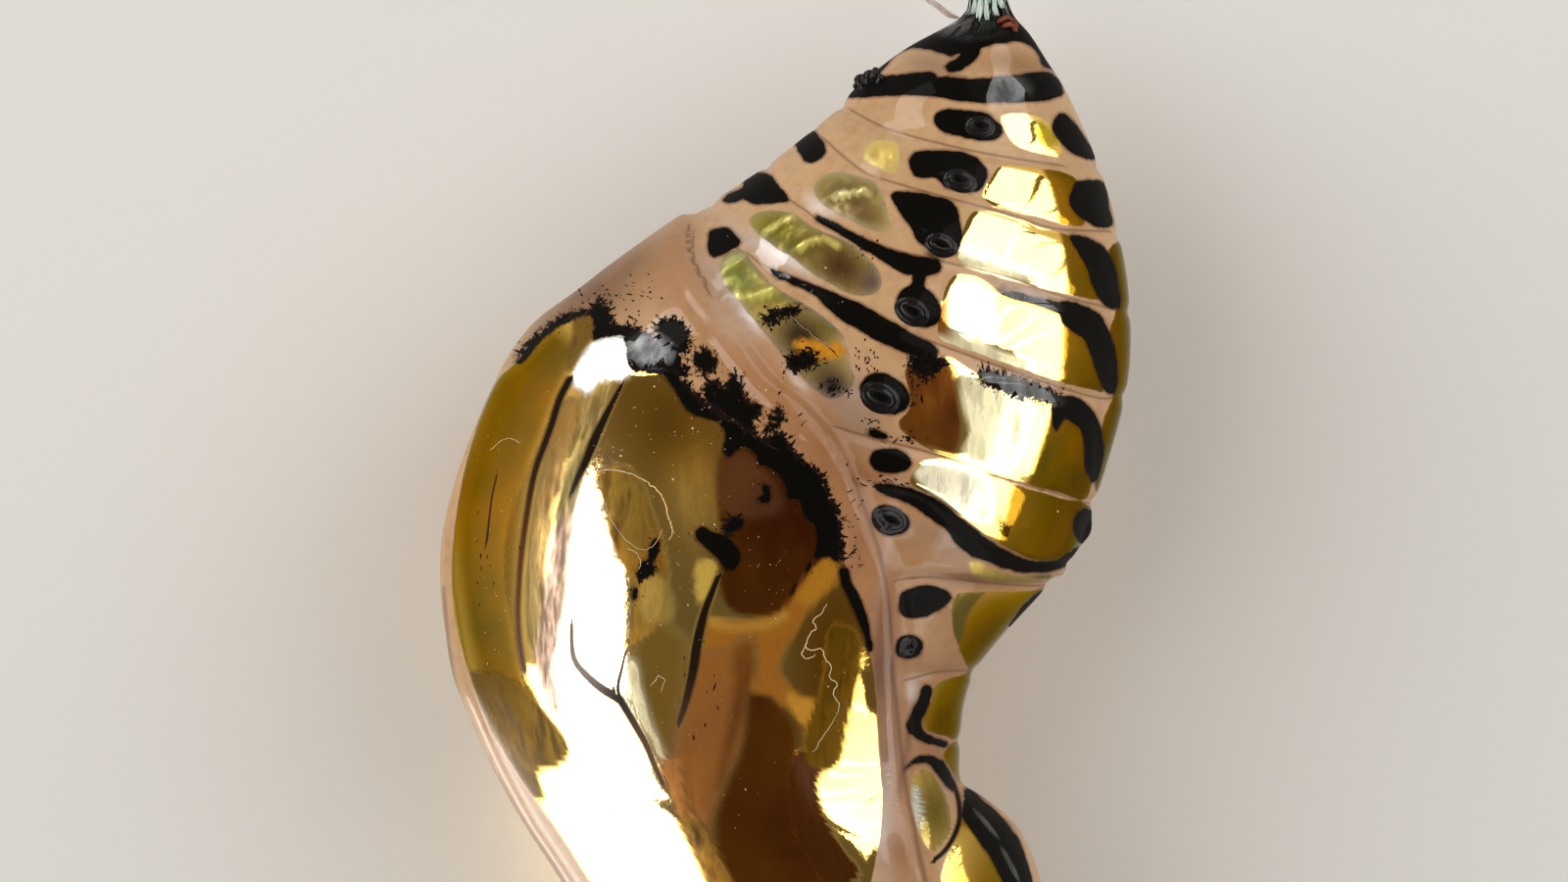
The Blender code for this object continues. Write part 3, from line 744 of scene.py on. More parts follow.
# name: centre in pixels, reach in pixels along and across, lean in degrees, colour, strength
SKIN_DABS = {
    "tan body": ((930, 640), (190, 230), 0, TAN, 0.75),
    "tan wing edge": ((790, 400), (170, 60), -48, TAN, 0.85),
    "brown wing front": ((606, 298), (90, 34), 38, "#482812", 0.95),
    "dark above the rim": ((854, 466), (80, 34), -52, "#8E5C36", 0.75),
    "pale above the band": ((742, 332), (34, 14), -46, "#DDBEA2", 0.9),
    # The milky dabs are a pale skin tone and partly a painted sheen. The glint dabs below them are painted
    # highlights.
    "milky by belly 5": ((742, 296), (60, 14), -52, "#B9A496", 0.9),
    "milky by belly 6": ((782, 256), (44, 12), -33, "#C6B4A8", 0.9),
    "milky under belly 5": ((868, 418), (44, 20), -50, "#8E7C72", 0.9),
    "milky end of belly 5": ((870, 396), (20, 14), -40, "#B09C94", 0.8),
    "glint by belly 6": ((803, 263), (28, 5), -34, "#F6EFE8", 1.0),
    "glint by belly 5": ((766, 324), (20, 6), -48, "#F4ECE6", 1.0),
    "glint under belly 5": ((813, 388), (18, 4), -48, "#F0E6E0", 0.9),
    "glint by belly 7": ((838, 211), (18, 6), -36, "#F0E8E0", 0.9),
    # Painted sheen: grey-lilac on the cream of ring 3, and of ring 5's edge below.
    "grey on ring 3": ((965, 553), (40, 20), -25, LILAC_SHEEN, 0.5),
    "brown by seam 7": ((990, 591), (50, 8), -6, "#7A5430", 0.8),
    "grey on ring 5 edge": ((1050, 300), (40, 10), -18, LILAC_SHEEN, 0.7),
    "pale round ring 2": ((942, 640), (30, 44), 0, "#CFA47C", 0.7),
    "blush at the tail": ((930, 100), (60, 20), 10, BLUSH, 0.4),
    "brown under the tail": ((1040, 66), (44, 16), -10, "#9A6C40", 0.8),
    "grey under the stalk": ((950, 66), (30, 16), 0, "#8A735E", 0.8),
    "brown at the waist": ((962, 770), (50, 40), 0, "#8A5E3A", 0.7),
    # Painted highlights: glints at the hook and on seam 8.
    "glint at the hook": ((931, 706), (7, 12), 8, "#EEE6E2", 1.0),
    "glint on seam 8": ((936, 693), (12, 3), 6, "#F4ECE4", 0.8),
    "brown by ring 1": ((985, 700), (40, 30), 0, "#8A5C34", 0.6),
    "brown on the head": ((930, 1120), (140, 80), 20, SALMON, 0.5),
    "rim, brown": ((876, 560), (12, 70), -14, "#A8765A", 0.7),
    "rim, pale edge": ((902, 580), (5, 90), -10, "#D9B6A2", 0.8),
    "rim, brown by the cell": ((902, 634), (8, 36), -6, "#7E5236", 0.8),
    "rim, pale": ((911, 680), (4, 36), -4, "#A9806E", 0.8),
    "rim, brown low": ((910, 748), (9, 40), -5, "#76583E", 0.9),
    "rim, milky": ((898, 830), (20, 70), 8, "#D6C4BA", 0.95),
    "rim, brown spot": ((920, 872), (14, 28), 6, "#A37A5A", 0.9),
    "rim, dark fold": ((924, 770), (4, 60), -10, "#6A4634", 0.9),
    "rim, violet": ((897, 700), (12, 80), -3, "#5C5052", 0.95),
    "rim, violet foot": ((899, 772), (11, 56), 0, "#94857A", 0.9),
}
GOLD_DABS = {
    "wing brown, left": ((482, 520), (22, 150), 12, "#B87424", 0.9),
    "wing top": ((660, 440), (90, 70), -20, "#F2B23A", 0.8),
    # Painted highlights: the two pale core dabs whiten the gold where the left streak falls.
    "wing core": ((612, 600), (34, 150), 3, "#F0DDB4", 0.9),
    "wing core, low": ((640, 820), (80, 90), -50, "#EFD9A8", 0.8),
    "wing amber, right": ((848, 660), (46, 120), -10, "#B87C1C", 0.95),
    "left of the cell": ((722, 500), (22, 60), 0, "#B07A2A", 0.5),
    "wing top, shaded": ((700, 440), (50, 34), -30, "#8A5E1E", 0.7),
    # Painted shade: these olive dabs darken the mirror where it would show a bright reflection.
    "ring 3 olive": ((1085, 545), (56, 40), 0, "#6A5414", 0.95),
    "waist olive": ((1006, 660), (70, 100), 0, "#64500E", 1.0),
    "waist olive, low": ((960, 740), (40, 50), 0, "#5E4C10", 1.0),
    "waist cell olive": ((952, 830), (26, 40), 0, "#5A5420", 0.95),
    "thorax olive": ((1006, 915), (50, 80), 0, "#5C4E10", 1.0),
    "belly 7 pale": ((865, 200), (55, 45), 0, "#7E6E40", 1.0),
    "belly 7 brown": ((880, 216), (28, 16), -30, "#664E2C", 0.95),
    "belly 6 olive": ((798, 240), (54, 36), -30, "#746F1C", 1.0),
    "belly 6 brown": ((858, 272), (50, 34), -30, "#4A3218", 1.0),
    "belly 6 violet": ((890, 288), (14, 16), -30, "#5E4A4C", 0.9),
    "belly 5 olive": ((752, 285), (34, 40), 0, "#70742E", 1.0),
    "belly 5 yellow": ((800, 304), (26, 12), -10, "#958C2E", 0.9),
    "belly 5 brown": ((818, 345), (46, 42), -40, "#35261C", 1.0),
    "belly 5 violet": ((850, 395), (34, 28), -40, "#34282A", 1.0),
    "belly 5 green spot": ((845, 332), (14, 10), -40, "#66601A", 0.9),
    "back strip orange": ((1150, 350), (25, 140), 0, AMBER, 0.9),
}
print(len(SKIN_DABS), "dabs on the skin and", len(GOLD_DABS), "on the gold")

# %% [markdown]
# ## Patches of the gold
# Where a pupa's layers thin out unevenly, the mirror turns cloudy and shows olive, copper or orange. Each
# such area is an outline with a soft edge. Most have a fine grain. Many also stand in for light: pale bands
# and ridge lines are painted highlights, and olive, brown and copper patches round the highlights are
# painted shade in place of a bright reflection. The smooth ones, pearly white or plain olive, are all
# painted highlights and painted shade.

# %% Patches of colour, as outlines in pixels
# name: outline, colour, how soft its edge is in mm, how much of the mirror is lost
GOLD_PATCHES = {
    # Painted highlight: the pale band stands in for the soft edge of the left light's streak.
    "pale band": (
        "625,392 608,444 594,501 583,558 577,615 570,672 573,718 566,732 556,718 546,672 548,615 563,558 "
        "571,501 590,444 610,392", "#C9AE9A", 0.16, 1.0),
    # Painted shade: dulls the mirror above the left streak, where it would show the light.
    "pale band, upper": (
        "632,384 612,440 598,484 582,520 566,540 570,490 580,450 592,404 608,384", "#A39A62", 0.30, 0.80),
    "olive between the veins": (
        "574,412 590,408 588,440 578,480 568,520 560,560 556,600 552,640 545,662 538,640 538,590 542,540 "
        "550,490 560,450", "#8C7A4C", 0.10, 0.85),
    # Painted shade: dulls the mirror right of the left streak's core, which edges the streak.
    "right of the core": (
        "611,482 616,513 621,543 632,570 645,597 643,635 639,662 654,656 672,640 682,600 680,560 668,526 "
        "656,494 638,474", "#765C22", 0.08, 0.90),
    "flecked gold": ("654,592 668,586 682,600 686,625 676,640 662,636 652,615", "#B0944A", 0.25, 0.80),
    # Painted shade: olive darkens the gold along the wing's left side, where the mirror would show the pale
    # floor.
    "wing olive": (
        "530,368 546,350 566,336 590,352 584,380 572,409 559,444 546,480 537,518 530,572 528,620 532,655 "
        "540,690 545,710 535,795 506,740 484,680 471,620 466,560 474,500 488,440 506,392", OLIVE_SHADE, 0.5, 0.0),
    # Painted shade: dulls the mirror beside the white wing top.
    "olive by the pentagon": (
        "586,322 602,316 612,324 612,340 600,354 588,380 578,372 584,346", "#6C5826", 0.10, 0.85),
    "olive by vein d": (
        "655,640 682,640 700,655 698,690 690,740 684,778 672,752 658,716 648,690", "#9A7C38", 0.35, 0.5),
    "pale by vein y": (
        "642,670 652,676 657,702 668,738 682,772 678,784 662,756 645,724 "
        "636,708 638,688", "#DAD3AC", 0.14, 0.8),
    "mid brown": (
        "716,664 728,661 741,661 752,651 768,648 773,660 771,675 768,692 765,705 763,707 760,729 755,763 "
        "741,797 729,830 722,850 706,830 694,800 688,770 690,745 697,718 "
        "703,690 708,670", "#A46A3A", 0.30, 0.8),
    "mid brown, shaded": (
        "750,662 767,656 768,690 762,710 757,735 748,765 736,800 730,800 740,755 "
        "748,710 748,680", "#6E4022", 0.25, 0.7),
    # Painted shade: low copper darkens the lower middle of the wing, and the two patches by the core edge the
    # left streak.
    "low copper": (
        "763,707 775,703 786,709 799,722 810,739 815,763 816,797 822,830 838,857 856,884 862,930 850,970 "
        "800,1010 735,960 728,898 728,864 729,830 741,797 755,763 760,729", "#7C4218", 0.30, 0.15),
    "brown by the core": (
        "673,778 680,800 691,832 700,850 716,846 708,828 698,800 692,770", "#A06C40", 0.08, 0.9),
    "olive by the core": (
        "690,834 702,862 716,890 730,925 758,970 790,990 770,940 745,890 "
        "728,856 714,838", "#6A5426", 0.10, 0.9),
    # Painted shade: dark olive right of the rings' highlights, where the mirror would show the pale floor.
    "back olive": (
        "1062,165 1075,200 1081,235 1089,299 1084,331 1082,389 1073,418 1048,490 1034,494 1027,520 1020,562 "
        "1060,590 1110,570 1130,500 1160,430 1170,320 1160,240 1110,180 1085,160", "#52440C", 0.10, 0.0),
    # Copper tone and painted shade: the cell also stands in for the dark reflection in the wing's middle.
    "cell": (
        "736,468 760,455 800,475 825,520 842,560 838,585 826,606 798,624 770,629 745,622 734,596 738,560 "
        "733,520", COPPER_AND_SHADE, 0.12, 0.1),
    "cell, brown corner": ("733,470 760,460 790,490 800,520 770,530 738,525", "#7A4A34", 0.3, 0.3),
    "orange round the cell": (
        "719,644 724,629 752,633 782,629 799,621 816,594 833,573 846,569 856,577 854,594 843,605 822,628 "
        "812,645 802,661 795,682 802,695 816,709 834,715 833,729 827,742 816,739 805,725 795,719 788,712 "
        "775,708 765,705 768,692 773,671 772,658 768,648 752,651 741,661 "
        "728,661 719,665", "#B8762E", 0.10, 0.8),
    "orange by the band": (
        "835,574 846,570 855,578 852,594 842,605 828,616 812,612 822,594", "#D2922E", 0.12, 0.8),
    "golden edge of the cell": (
        "724,630 752,635 782,632 800,622 804,630 784,642 752,644 726,641", "#D6A244", 0.10, 0.75),
    "orange patch": ("802,708 815,709 834,716 833,729 827,741 817,738 807,724", "#DDA03C", 0.10, 0.8),
    "yellow island": ("710,577 723,570 732,577 728,600 720,614 711,612", "#EAC85C", 0.08, 0.8),
    # Painted shade: copper on rings 4 and 5 stands in for the dark reflection left of their highlights.
    "ring 4 copper": (
        "922,378 940,370 960,366 972,380 978,410 981,440 974,464 955,458 940,456 925,446 "
        "914,430 926,410", "#6A3818", 0.12, 0.75),
    "ring 5 copper": ("958,343 958,318 968,300 975,320 968,345", "#A8682A", 0.10, 0.5),
    "ring 8 olive": ("1058,124 1070,132 1078,148 1066,150 1058,140", "#B8A42C", 0.06, 0.6),
    "belly 5 orange": (
        "812,350 826,347 842,352 860,352 866,360 850,366 830,366 816,360", "#E69A28", 0.08, 0.8),
    # Painted highlights: pale lines along the belly folds, where the folds catch the light.
    "belly 6 ridge 1": (
        "777,240 790,230 806,222 818,219 814,224 800,230 788,238 780,244", "#D8D27A", 0.05, 0.9),
    "belly 6 ridge 2": (
        "812,256 824,247 838,243 852,246 862,254 850,252 838,248 826,252 818,260", "#DAD070", 0.05, 0.9),
    "belly 5 ridge 1": ("733,274 742,266 756,258 764,262 752,268 742,276", "#C8CC88", 0.05, 0.9),
    "belly 5 ridge 2": (
        "745,298 760,300 776,300 790,292 802,289 800,296 786,304 770,306 752,305", "#D2CE6A", 0.05, 0.9),
    "belly 7 ridge": (
        "848,204 858,197 872,196 884,194 892,200 880,200 866,202 856,205", "#E0D894", 0.05, 0.9),
}
# Smooth patches without grain, all painted light: the near-white ones are painted highlights where the
# mirrored panels don't reach, and the dark olive ones are painted shade that hides or edges a highlight.
PAINTED_HIGHLIGHTS_AND_SHADE = {
    "olive tip": (
        "480,684 538,700 549,716 561,731 577,752 582,770 567,783 549,788 556,815 "
        "530,806 496,760", "#6C5016", 0.08, 0.96),
    "dark by the window": (
        "846,770 852,780 842,785 834,798 836,815 847,842 861,866 877,889 866,906 840,900 815,860 806,820 "
        "804,780 820,764", "#472409", 0.06, 0.93),
    "waist cell light": ("930,806 935,803 939,818 939,838 936,848 931,832", "#D6DBD0", 0.06, 0.8),
    "ring 2 corner": ("966,600 1006,598 995,614 985,632 981,652 968,652", "#665822", 0.10, 0.95),
    "olive by the window": (
        "850,636 875,646 878,672 873,700 864,737 855,778 838,784 822,776 822,740 "
        "838,700 842,660", "#5D4108", 0.06, 0.93),
    "wing top": (
        "584,388 598,358 612,345 634,339 643,342 646,376 636,390 614,388 "
        "602,402 594,400", "#FFFFFA", 0.08, 0.82),
    "ring 6, foot": ("980,252 1010,262 1060,280 1060,292 1020,284 980,270", "#FFF3C4", 0.08, 0.85),
    "ring 5, foot": ("960,340 1000,350 1050,368 1050,384 1010,370 960,354", "#FFF3C4", 0.08, 0.85),
    "ring 5": ("970,300 990,292 1010,306 1014,352 992,352 972,340", "#FFF3C4", 0.25, 0.75),
    "ring 4": (
        "980,372 1002,388 1050,404 1048,440 1030,480 1000,474 980,464 "
        "988,440 980,410", "#FFF3C4", 0.10, 0.85),
    "ring 3": ("932,482 948,472 980,476 1008,490 1010,530 980,522 946,500", "#FFF6D4", 0.12, 0.9),
}
print(len(GOLD_PATCHES), "grainy patches and", len(PAINTED_HIGHLIGHTS_AND_SHADE), "smooth ones")

# %% Cloudy, glossy and streaky places
# name: colour of the panel's rim, the rim's breadth in mm, how much of the mirror is lost
CLOUDY_CELLS = {
    "belly 5": ("#8C8078", 0.14, 0.97), "belly 6": ("#A29478", 0.12, 0.97),
    "belly 7": ("#B2A688", 0.14, 0.96), "ring 7 small": ("#D6CC82", 0.12, 0.95),
    "ring 3 low": ("#8C7C58", 0.15, 0.90), "waist cell": ("#A89C7A", 0.08, 0.70),
}
# name: centre in pixels, reach in pixels along and across, lean in degrees, strength or colour and strength
THIN = {
    "left of the cell": ((714, 490), (26, 60), 0, 0.40),
}
GLOSSY = {
    "wing top": ((662, 356), (36, 24), -15, 0.66),
    "tail band": ((1020, 90), (36, 18), 0, 1.0),
    "stalk": ((990, 20), (60, 30), 0, 0.6),
    "stripe, upper": ((1006, 840), (24, 3), -50, 0.9),
    "stripe, lower": ((1031, 882), (24, 3), -62, 0.9),
    "ring 4 top": ((1040, 396), (48, 12), -18, 1.0),
    "ring 5 top": ((1050, 304), (40, 10), -18, 0.9),
    "belly ridge": ((800, 270), (90, 12), -40, 0.8),
    "rim": ((908, 780), (10, 110), -3, 0.4),
}
STREAKY = {
    "wing front": ((640, 300), (95, 40), 35, 1.0),
    "wing band": ((790, 440), (110, 30), -48, 1.0),
    "wing band, low": ((868, 560), (22, 90), 10, 0.8),
    "round the ring 4 pore": ((900, 400), (60, 60), 0, 0.6),
    "belly 5": ((840, 380), (50, 30), -40, 0.8),
    "ring 3": ((900, 455), (50, 14), -20, 0.7),
}
VEIN_DABS = {
    "vein a, brown": ((530, 620), (34, 110), 0, "#6E4222", 0.95),
    "vein y, brown": ((668, 780), (50, 60), 0, "#6E5442", 0.95),
    # Painted sheen: grey on vein y where it crosses the left streak.
    "vein y, grey": ((594, 676), (46, 50), 0, "#9C9088", 1.0),
    "vein y, joint": ((634, 714), (18, 22), 0, "#2A2622", 0.9),
}
print(len(CLOUDY_CELLS), "cloudy cells,", len(GLOSSY), "glossy and", len(STREAKY), "streaky places")


# %% Blend the colours on every vertex
def oval(centre, reach, lean):
    """How near each vertex is to the middle of a soft oval of the picture: 1 in the middle, 0 far away."""
    turn = math.radians(lean)
    away = (seen - centre) * UP
    along = away[:, 0] * math.cos(turn) + away[:, 1] * math.sin(turn)
    across = away[:, 1] * math.cos(turn) - away[:, 0] * math.sin(turn)
    return bump(np.hypot(along / reach[0], across / reach[1]), 1)


def blend_in(colours, colour, share):
    """Moves each vertex's colour towards a new one by its share."""
    colours += (np.array(linear(colour)) - colours) * share[:, None]


TINTS = {"skin_tint": (CREAM, SKIN_DABS), "gold_tint": (GOLD, GOLD_DABS), "vein_tint": (VEIN, VEIN_DABS)}
tints = {name: np.tile(linear(base), (len(seen), 1)) for name, (base, _) in TINTS.items()}
for name, (_, dabs) in TINTS.items():
    for centre, reach, lean, colour, strength in dabs.values():
        blend_in(tints[name], colour, strength * oval(centre, reach, lean))
for name, spots in (("thin", THIN), ("glossy", GLOSSY), ("streaky", STREAKY)):
    marks[name] = np.max([strength * oval(*place) for *place, strength in spots.values()], axis=0)
marks["grainy"] = np.zeros(len(seen))
for patches, grain_left in ((GOLD_PATCHES, True), (PAINTED_HIGHLIGHTS_AND_SHADE, False)):
    for outline, colour, soft, thin in patches.values():
        share = step(inside_outline(outline) + soft / 2, soft)
        blend_in(tints["gold_tint"], colour, share)
        marks["thin"] = np.maximum(marks["thin"], thin * share)
        grainy = marks["grainy"]
        marks["grainy"] = np.maximum(grainy, thin * share) if grain_left else grainy * (1 - share)
CELL_MARGIN, CELL_RIM_TINT, CELL_RIM_THIN = 0.1, 0.5, 0.95  # mm round the cell, then shares
for name, (colour, breadth, thin) in CLOUDY_CELLS.items():
    depth = inside_outline(GOLD_PANELS[name])
    at_rim, here = 1 - step(depth, breadth), depth > -CELL_MARGIN
    blend_in(tints["gold_tint"], colour, CELL_RIM_TINT * at_rim * here)
    marks["thin"] = np.maximum(marks["thin"], np.maximum(thin, CELL_RIM_THIN * at_rim) * here)
print("on every vertex:", ", ".join([*marks, *tints]))

# %% [markdown]
# ## How the skin is drawn
# The material reads what each vertex knows: the distances, the dabs and how cloudy or glossy it is. Noise
# of real sizes gives what is too small for the vertices. Named ramps turn these into thresholds, strengths
# and depths. The first cell sets this up, and the next finds where each mark is.

# %% What the skin's material reads
skin, tree, shader = new_material(
    "chitin_grown_gold_and_cream", Coat_Roughness=0.03, Coat_IOR=1.45, IOR=1.56, Specular_IOR_Level=0.02,
    Subsurface_Weight=0.15, Subsurface_Scale=0.0004,
)
shader.inputs["Subsurface Radius"].default_value = (1.0, 0.45, 0.25)
shader.inputs["Specular Tint"].default_value = linear("#C2BC95")  # thin layers stay golden at a slant
SIZES = {  # mm
    "edge wobble": 0.35, "mottle": 1.8, "fine mottle": 0.30, "speck": 0.055, "blotch": 0.10, "wrinkle": 0.16,
}
STREAK_SIZE, GRAIN_SIZE = 0.035, 0.22  # mm
WOBBLE, GOLD_WOBBLE = 0.05, 0.03  # mm
place = add(tree, "TexCoord")["Object"]
place_mm = add(tree, "VectorMath", {0: place, "Scale": 1 / MM}, operation="SCALE")["Vector"]
value = {name: add(tree, "Attribute", attribute_name=name)["Fac"] for name in marks}
tint = {name: add(tree, "Attribute", attribute_name=name)["Color"] for name in tints}
for name, size in SIZES.items():
    look = {"Vector": place_mm, "Scale": 1 / size, "Detail": 3.0, "Roughness": 0.6}
    value[name] = add(tree, "TexNoise", look)["Fac"]
RAMPS = {  # what is read, from and to, and what these two become
    "wobble, mm": ("edge wobble", 0, 1, -WOBBLE, WOBBLE),
    "blotches, mm": ("blotch", 0.3, 0.7, -0.07, 0.07),
    "outside the wing's gold": ("wing_mm", 0.10, -0.05, 0, 1),
    "off the gold": ("gold_mm", 0.02, -0.02, 0, 1),
    "threshold of specks": ("frayed_mm", -0.45, 0, 0.80, 0.60),
    "threshold of streaks": ("streaky", 0, 1, 0.95, 0.66),
    "blush": ("mottle", 0.35, 0.7, 0, 0.45),
    "salmon": ("fine mottle", 0.45, 0.75, 0, 0.3),
    "amber": ("mottle", 0.3, 0.7, 0, 0.35),
    "coat of the skin": ("glossy", 0, 1, 0.20, 1.0),
    "wet": ("glossy", 0.3, 0.55, 0, 1),
    "wrinkles, mm": ("wrinkle", 0, 1, 0, 0.003),
}
ramp = {name: add(tree, "MapRange", value[read], *ends)[0] for name, (read, *ends) in RAMPS.items()}
print(len(value), "values,", len(tint), "tints and", len(ramp), "ramps")

# %% Where each mark is
# Edges wobble by a few hundredths of a millimetre.
black_edge = add(tree, "Math", value["black_mm"], ramp["wobble, mm"], operation="ADD")[0]
gold_edge = add(tree, "MapRange", ramp["wobble, mm"], -WOBBLE, WOBBLE, GOLD_WOBBLE, -GOLD_WOBBLE)[0]
gold_edge = add(tree, "Math", value["gold_mm"], gold_edge, operation="ADD")[0]

# Frayed marks: ragged tufts and a few long strokes run out across the edge, where the mark isn't on the gold.
# size, stretch, the noise from which and to which they show, reach
TUFTS = ((0.070, 0.60, 0.45, 0.75, 0.12), (0.060, 0.14, 0.58, 0.76, 0.25))
outside_gold = ramp["outside the wing's gold"]
across_edge = add(tree, "CombineXYZ", value["along_mm"], value["frayed_mm"])[0]
frayed_edge = value["frayed_mm"]
for size, stretch, first, last, reach in TUFTS:
    stroke_place = add(tree, "VectorMath", across_edge, (1.0, stretch, 1.0), operation="MULTIPLY")[0]
    look = {"Vector": stroke_place, "Scale": 1 / size, "Detail": 3.0, "Roughness": 0.7}
    strokes = add(tree, "TexNoise", look)[0]
    strokes = add(tree, "MapRange", strokes, first, last, 0, reach)[0]
    strokes = add(tree, "Math", strokes, outside_gold, operation="MULTIPLY")[0]
    frayed_edge = add(tree, "Math", frayed_edge, strokes, operation="ADD")[0]
blotches = add(tree, "Math", ramp["blotches, mm"], outside_gold, operation="MULTIPLY")[0]
for shift in (blotches, ramp["wobble, mm"]):
    frayed_edge = add(tree, "Math", frayed_edge, shift, operation="ADD")[0]

# Specks thin out with the distance from a frayed mark, and hair-thin streaks lie where the skin is streaky.
specks = add(tree, "Math", value["speck"], ramp["threshold of specks"], operation="SUBTRACT")[0]
specks = add(tree, "MapRange", specks, 0, 0.02)[0]
look = {"Vector": place_mm, "Rotation": (0, 0, -0.9), "Scale": (0.12, 1.0, 0.5)}
streak_place = add(tree, "Mapping", look)[0]
streaks = add(tree, "TexNoise", {"Vector": streak_place, "Scale": 1 / STREAK_SIZE, "Detail": 2.0})[0]
streaks = add(tree, "Math", streaks, ramp["threshold of streaks"], operation="SUBTRACT")[0]
streaks = add(tree, "MapRange", streaks, 0, 0.015)[0]
streaks = add(tree, "Math", streaks, ramp["off the gold"], operation="MULTIPLY")[0]
specks = add(tree, "Math", specks, streaks, operation="MAXIMUM")[0]

# Veins, splits and creases: within a line's own width, and only near it.
LINE_LOOKS = {  # half widths where it starts and is full, its strength, mm where it starts and is full
    "vein": (1.7, 0.7, 1.0, 0.14, 0.08),
    "split": (1.5, 0.5, 0.5, 0.10, 0.05),
    "crease": (2.2, 0.2, 0.6, 0.12, 0.06),
}
line = {}
for name, (outer, inner, strength, far, close) in LINE_LOOKS.items():
    away = add(tree, "Math", value[name], operation="ABSOLUTE")[0]
    away = add(tree, "MapRange", away, outer, inner, 0, strength)[0]
    near = add(tree, "MapRange", value[name + "_mm"], far, close)[0]
    line[name] = add(tree, "Math", away, near, operation="MULTIPLY")[0]

black_mm = add(tree, "Math", black_edge, frayed_edge, operation="MAXIMUM")[0]
fringe = add(tree, "MapRange", black_mm, -0.055, 0, 0, 0.75)[0]
black = add(tree, "MapRange", black_mm, -0.010, 0.010)[0]
black = add(tree, "Math", black, specks, operation="MAXIMUM")[0]
gold = add(tree, "MapRange", gold_edge, -0.015, 0.015)[0]
print("marks:", len(tree.nodes), "nodes so far")

# %% [markdown]
# ## Colour and shine of the skin
# The colours lie over each other as on the animal: cream skin with a salmon rim, gold over it, black over
# both. The gold is a metal where it mirrors, and loses that where it is thin and under the painted
# highlights and painted shade of the patches. A clear coat is left on the cream skin and on the few
# wet-looking black places.

# %% Colour
rim = add(tree, "Math", value["rim_mm"], RIM_INSET, operation="SUBTRACT")[0]
rim = add(tree, "Math", rim, operation="ABSOLUTE")[0]
rim = add(tree, "MapRange", rim, 0.65, 0.15, 0, 0.35)[0]
colour = tint["skin_tint"]
for share, over in (
    (ramp["blush"], BLUSH), (ramp["salmon"], SALMON), (rim, SALMON), (line["crease"], "#6E4630"),
):
    colour = add(tree, "Mix", {0: share, 6: colour, 7: linear(over)}, data_type="RGBA")[2]

# Gold turns amber in wide clouds, but not on smooth patches, and darker along the grain of the grainy ones.
smooth = add(tree, "Math", value["thin"], value["grainy"], operation="SUBTRACT", use_clamp=True)[0]
uneven = add(tree, "Math", 1.0, smooth, operation="SUBTRACT")[0]
amber = add(tree, "Math", ramp["amber"], uneven, operation="MULTIPLY")[0]
look = {"Vector": place_mm, "Rotation": (0, 0, 0.15), "Scale": (1.0, 0.22, 1.0)}
grain_place = add(tree, "Mapping", look)[0]
look = {"Vector": grain_place, "Scale": 1 / GRAIN_SIZE, "Detail": 5.0, "Roughness": 0.65}
grained = add(tree, "TexNoise", look)[0]
grained = add(tree, "MapRange", grained, 0.38, 0.68)[0]
thin_grain = add(tree, "Math", grained, value["grainy"], operation="MULTIPLY")[0]
thin_grain = add(tree, "Math", thin_grain, 0.55, operation="MULTIPLY")[0]
gold_colour = tint["gold_tint"]
for share, over in ((amber, AMBER), (thin_grain, "#4A240C")):
    gold_colour = add(tree, "Mix", {0: share, 6: gold_colour, 7: linear(over)}, data_type="RGBA")[2]
for share, over in (
    (gold, gold_colour), (fringe, linear("#5A2F16")), (line["vein"], tint["vein_tint"]),
    (black, linear("#070504")), (line["split"], linear("#6E3A26")),
):
    colour = add(tree, "Mix", {0: share, 6: colour, 7: over}, data_type="RGBA")[2]
print("colour:", len(tree.nodes), "nodes so far")

# %% Mirror, coat and fine wrinkles
# The mirror is lost under black and veins, and where the gold is thin or carries painted highlights or shade,
# the more so along its grain.
marked = add(tree, "Math", black, line["vein"], operation="MAXIMUM")[0]
not_marked = add(tree, "Math", 1.0, marked, operation="SUBTRACT")[0]
cloudy = add(tree, "MapRange", grained, 0, 1, 0.8, 1.15)[0]
cloudy = add(tree, "Math", value["thin"], cloudy, operation="MULTIPLY", use_clamp=True)[0]
metal = add(tree, "Math", 1.0, cloudy, operation="SUBTRACT")[0]
metal = add(tree, "Math", metal, not_marked, operation="MULTIPLY")[0]
metal = add(tree, "Math", gold, metal, operation="MULTIPLY")[0]
# The coat is thin on the cream skin, nearly gone on the gold, and thick where a black mark looks wet.
streaked = add(tree, "MapRange", grained, 0, 1, 0.35, 1.0)[0]
wet = add(tree, "Math", ramp["wet"], streaked, operation="MULTIPLY")[0]
dark_coat = add(tree, "MapRange", wet, 0, 1, 0.02, 1.0)[0]
coat = add(tree, "Mix", {0: gold, 2: ramp["coat of the skin"], 3: 0.03})[0]
coat = add(tree, "Mix", {0: marked, 2: coat, 3: dark_coat})[0]
# Only the mirror is polished. The cream skin is satin, and the black marks are matt.
rough = add(tree, "MapRange", metal, 0.12, 0.35, 0.36, 0.06)[0]
matt = add(tree, "MapRange", marked, 0.7, 1.0)[0]
rough = add(tree, "Mix", {0: matt, 2: rough, 3: 0.6})[0]
crease_cut = add(tree, "Math", line["crease"], -0.02, operation="MULTIPLY")[0]
relief = add(tree, "Math", ramp["wrinkles, mm"], crease_cut, operation="ADD")[0]
bumped = add(tree, "Bump", {"Height": relief, "Distance": MM, "Strength": 0.6})[0]
finish = {"Base Color": colour, "Metallic": metal, "Coat Weight": coat, "Roughness": rough, "Normal": bumped}
for name, output in finish.items():
    tree.links.new(output, shader.inputs[name])
print("skin:", len(tree.nodes), "nodes")

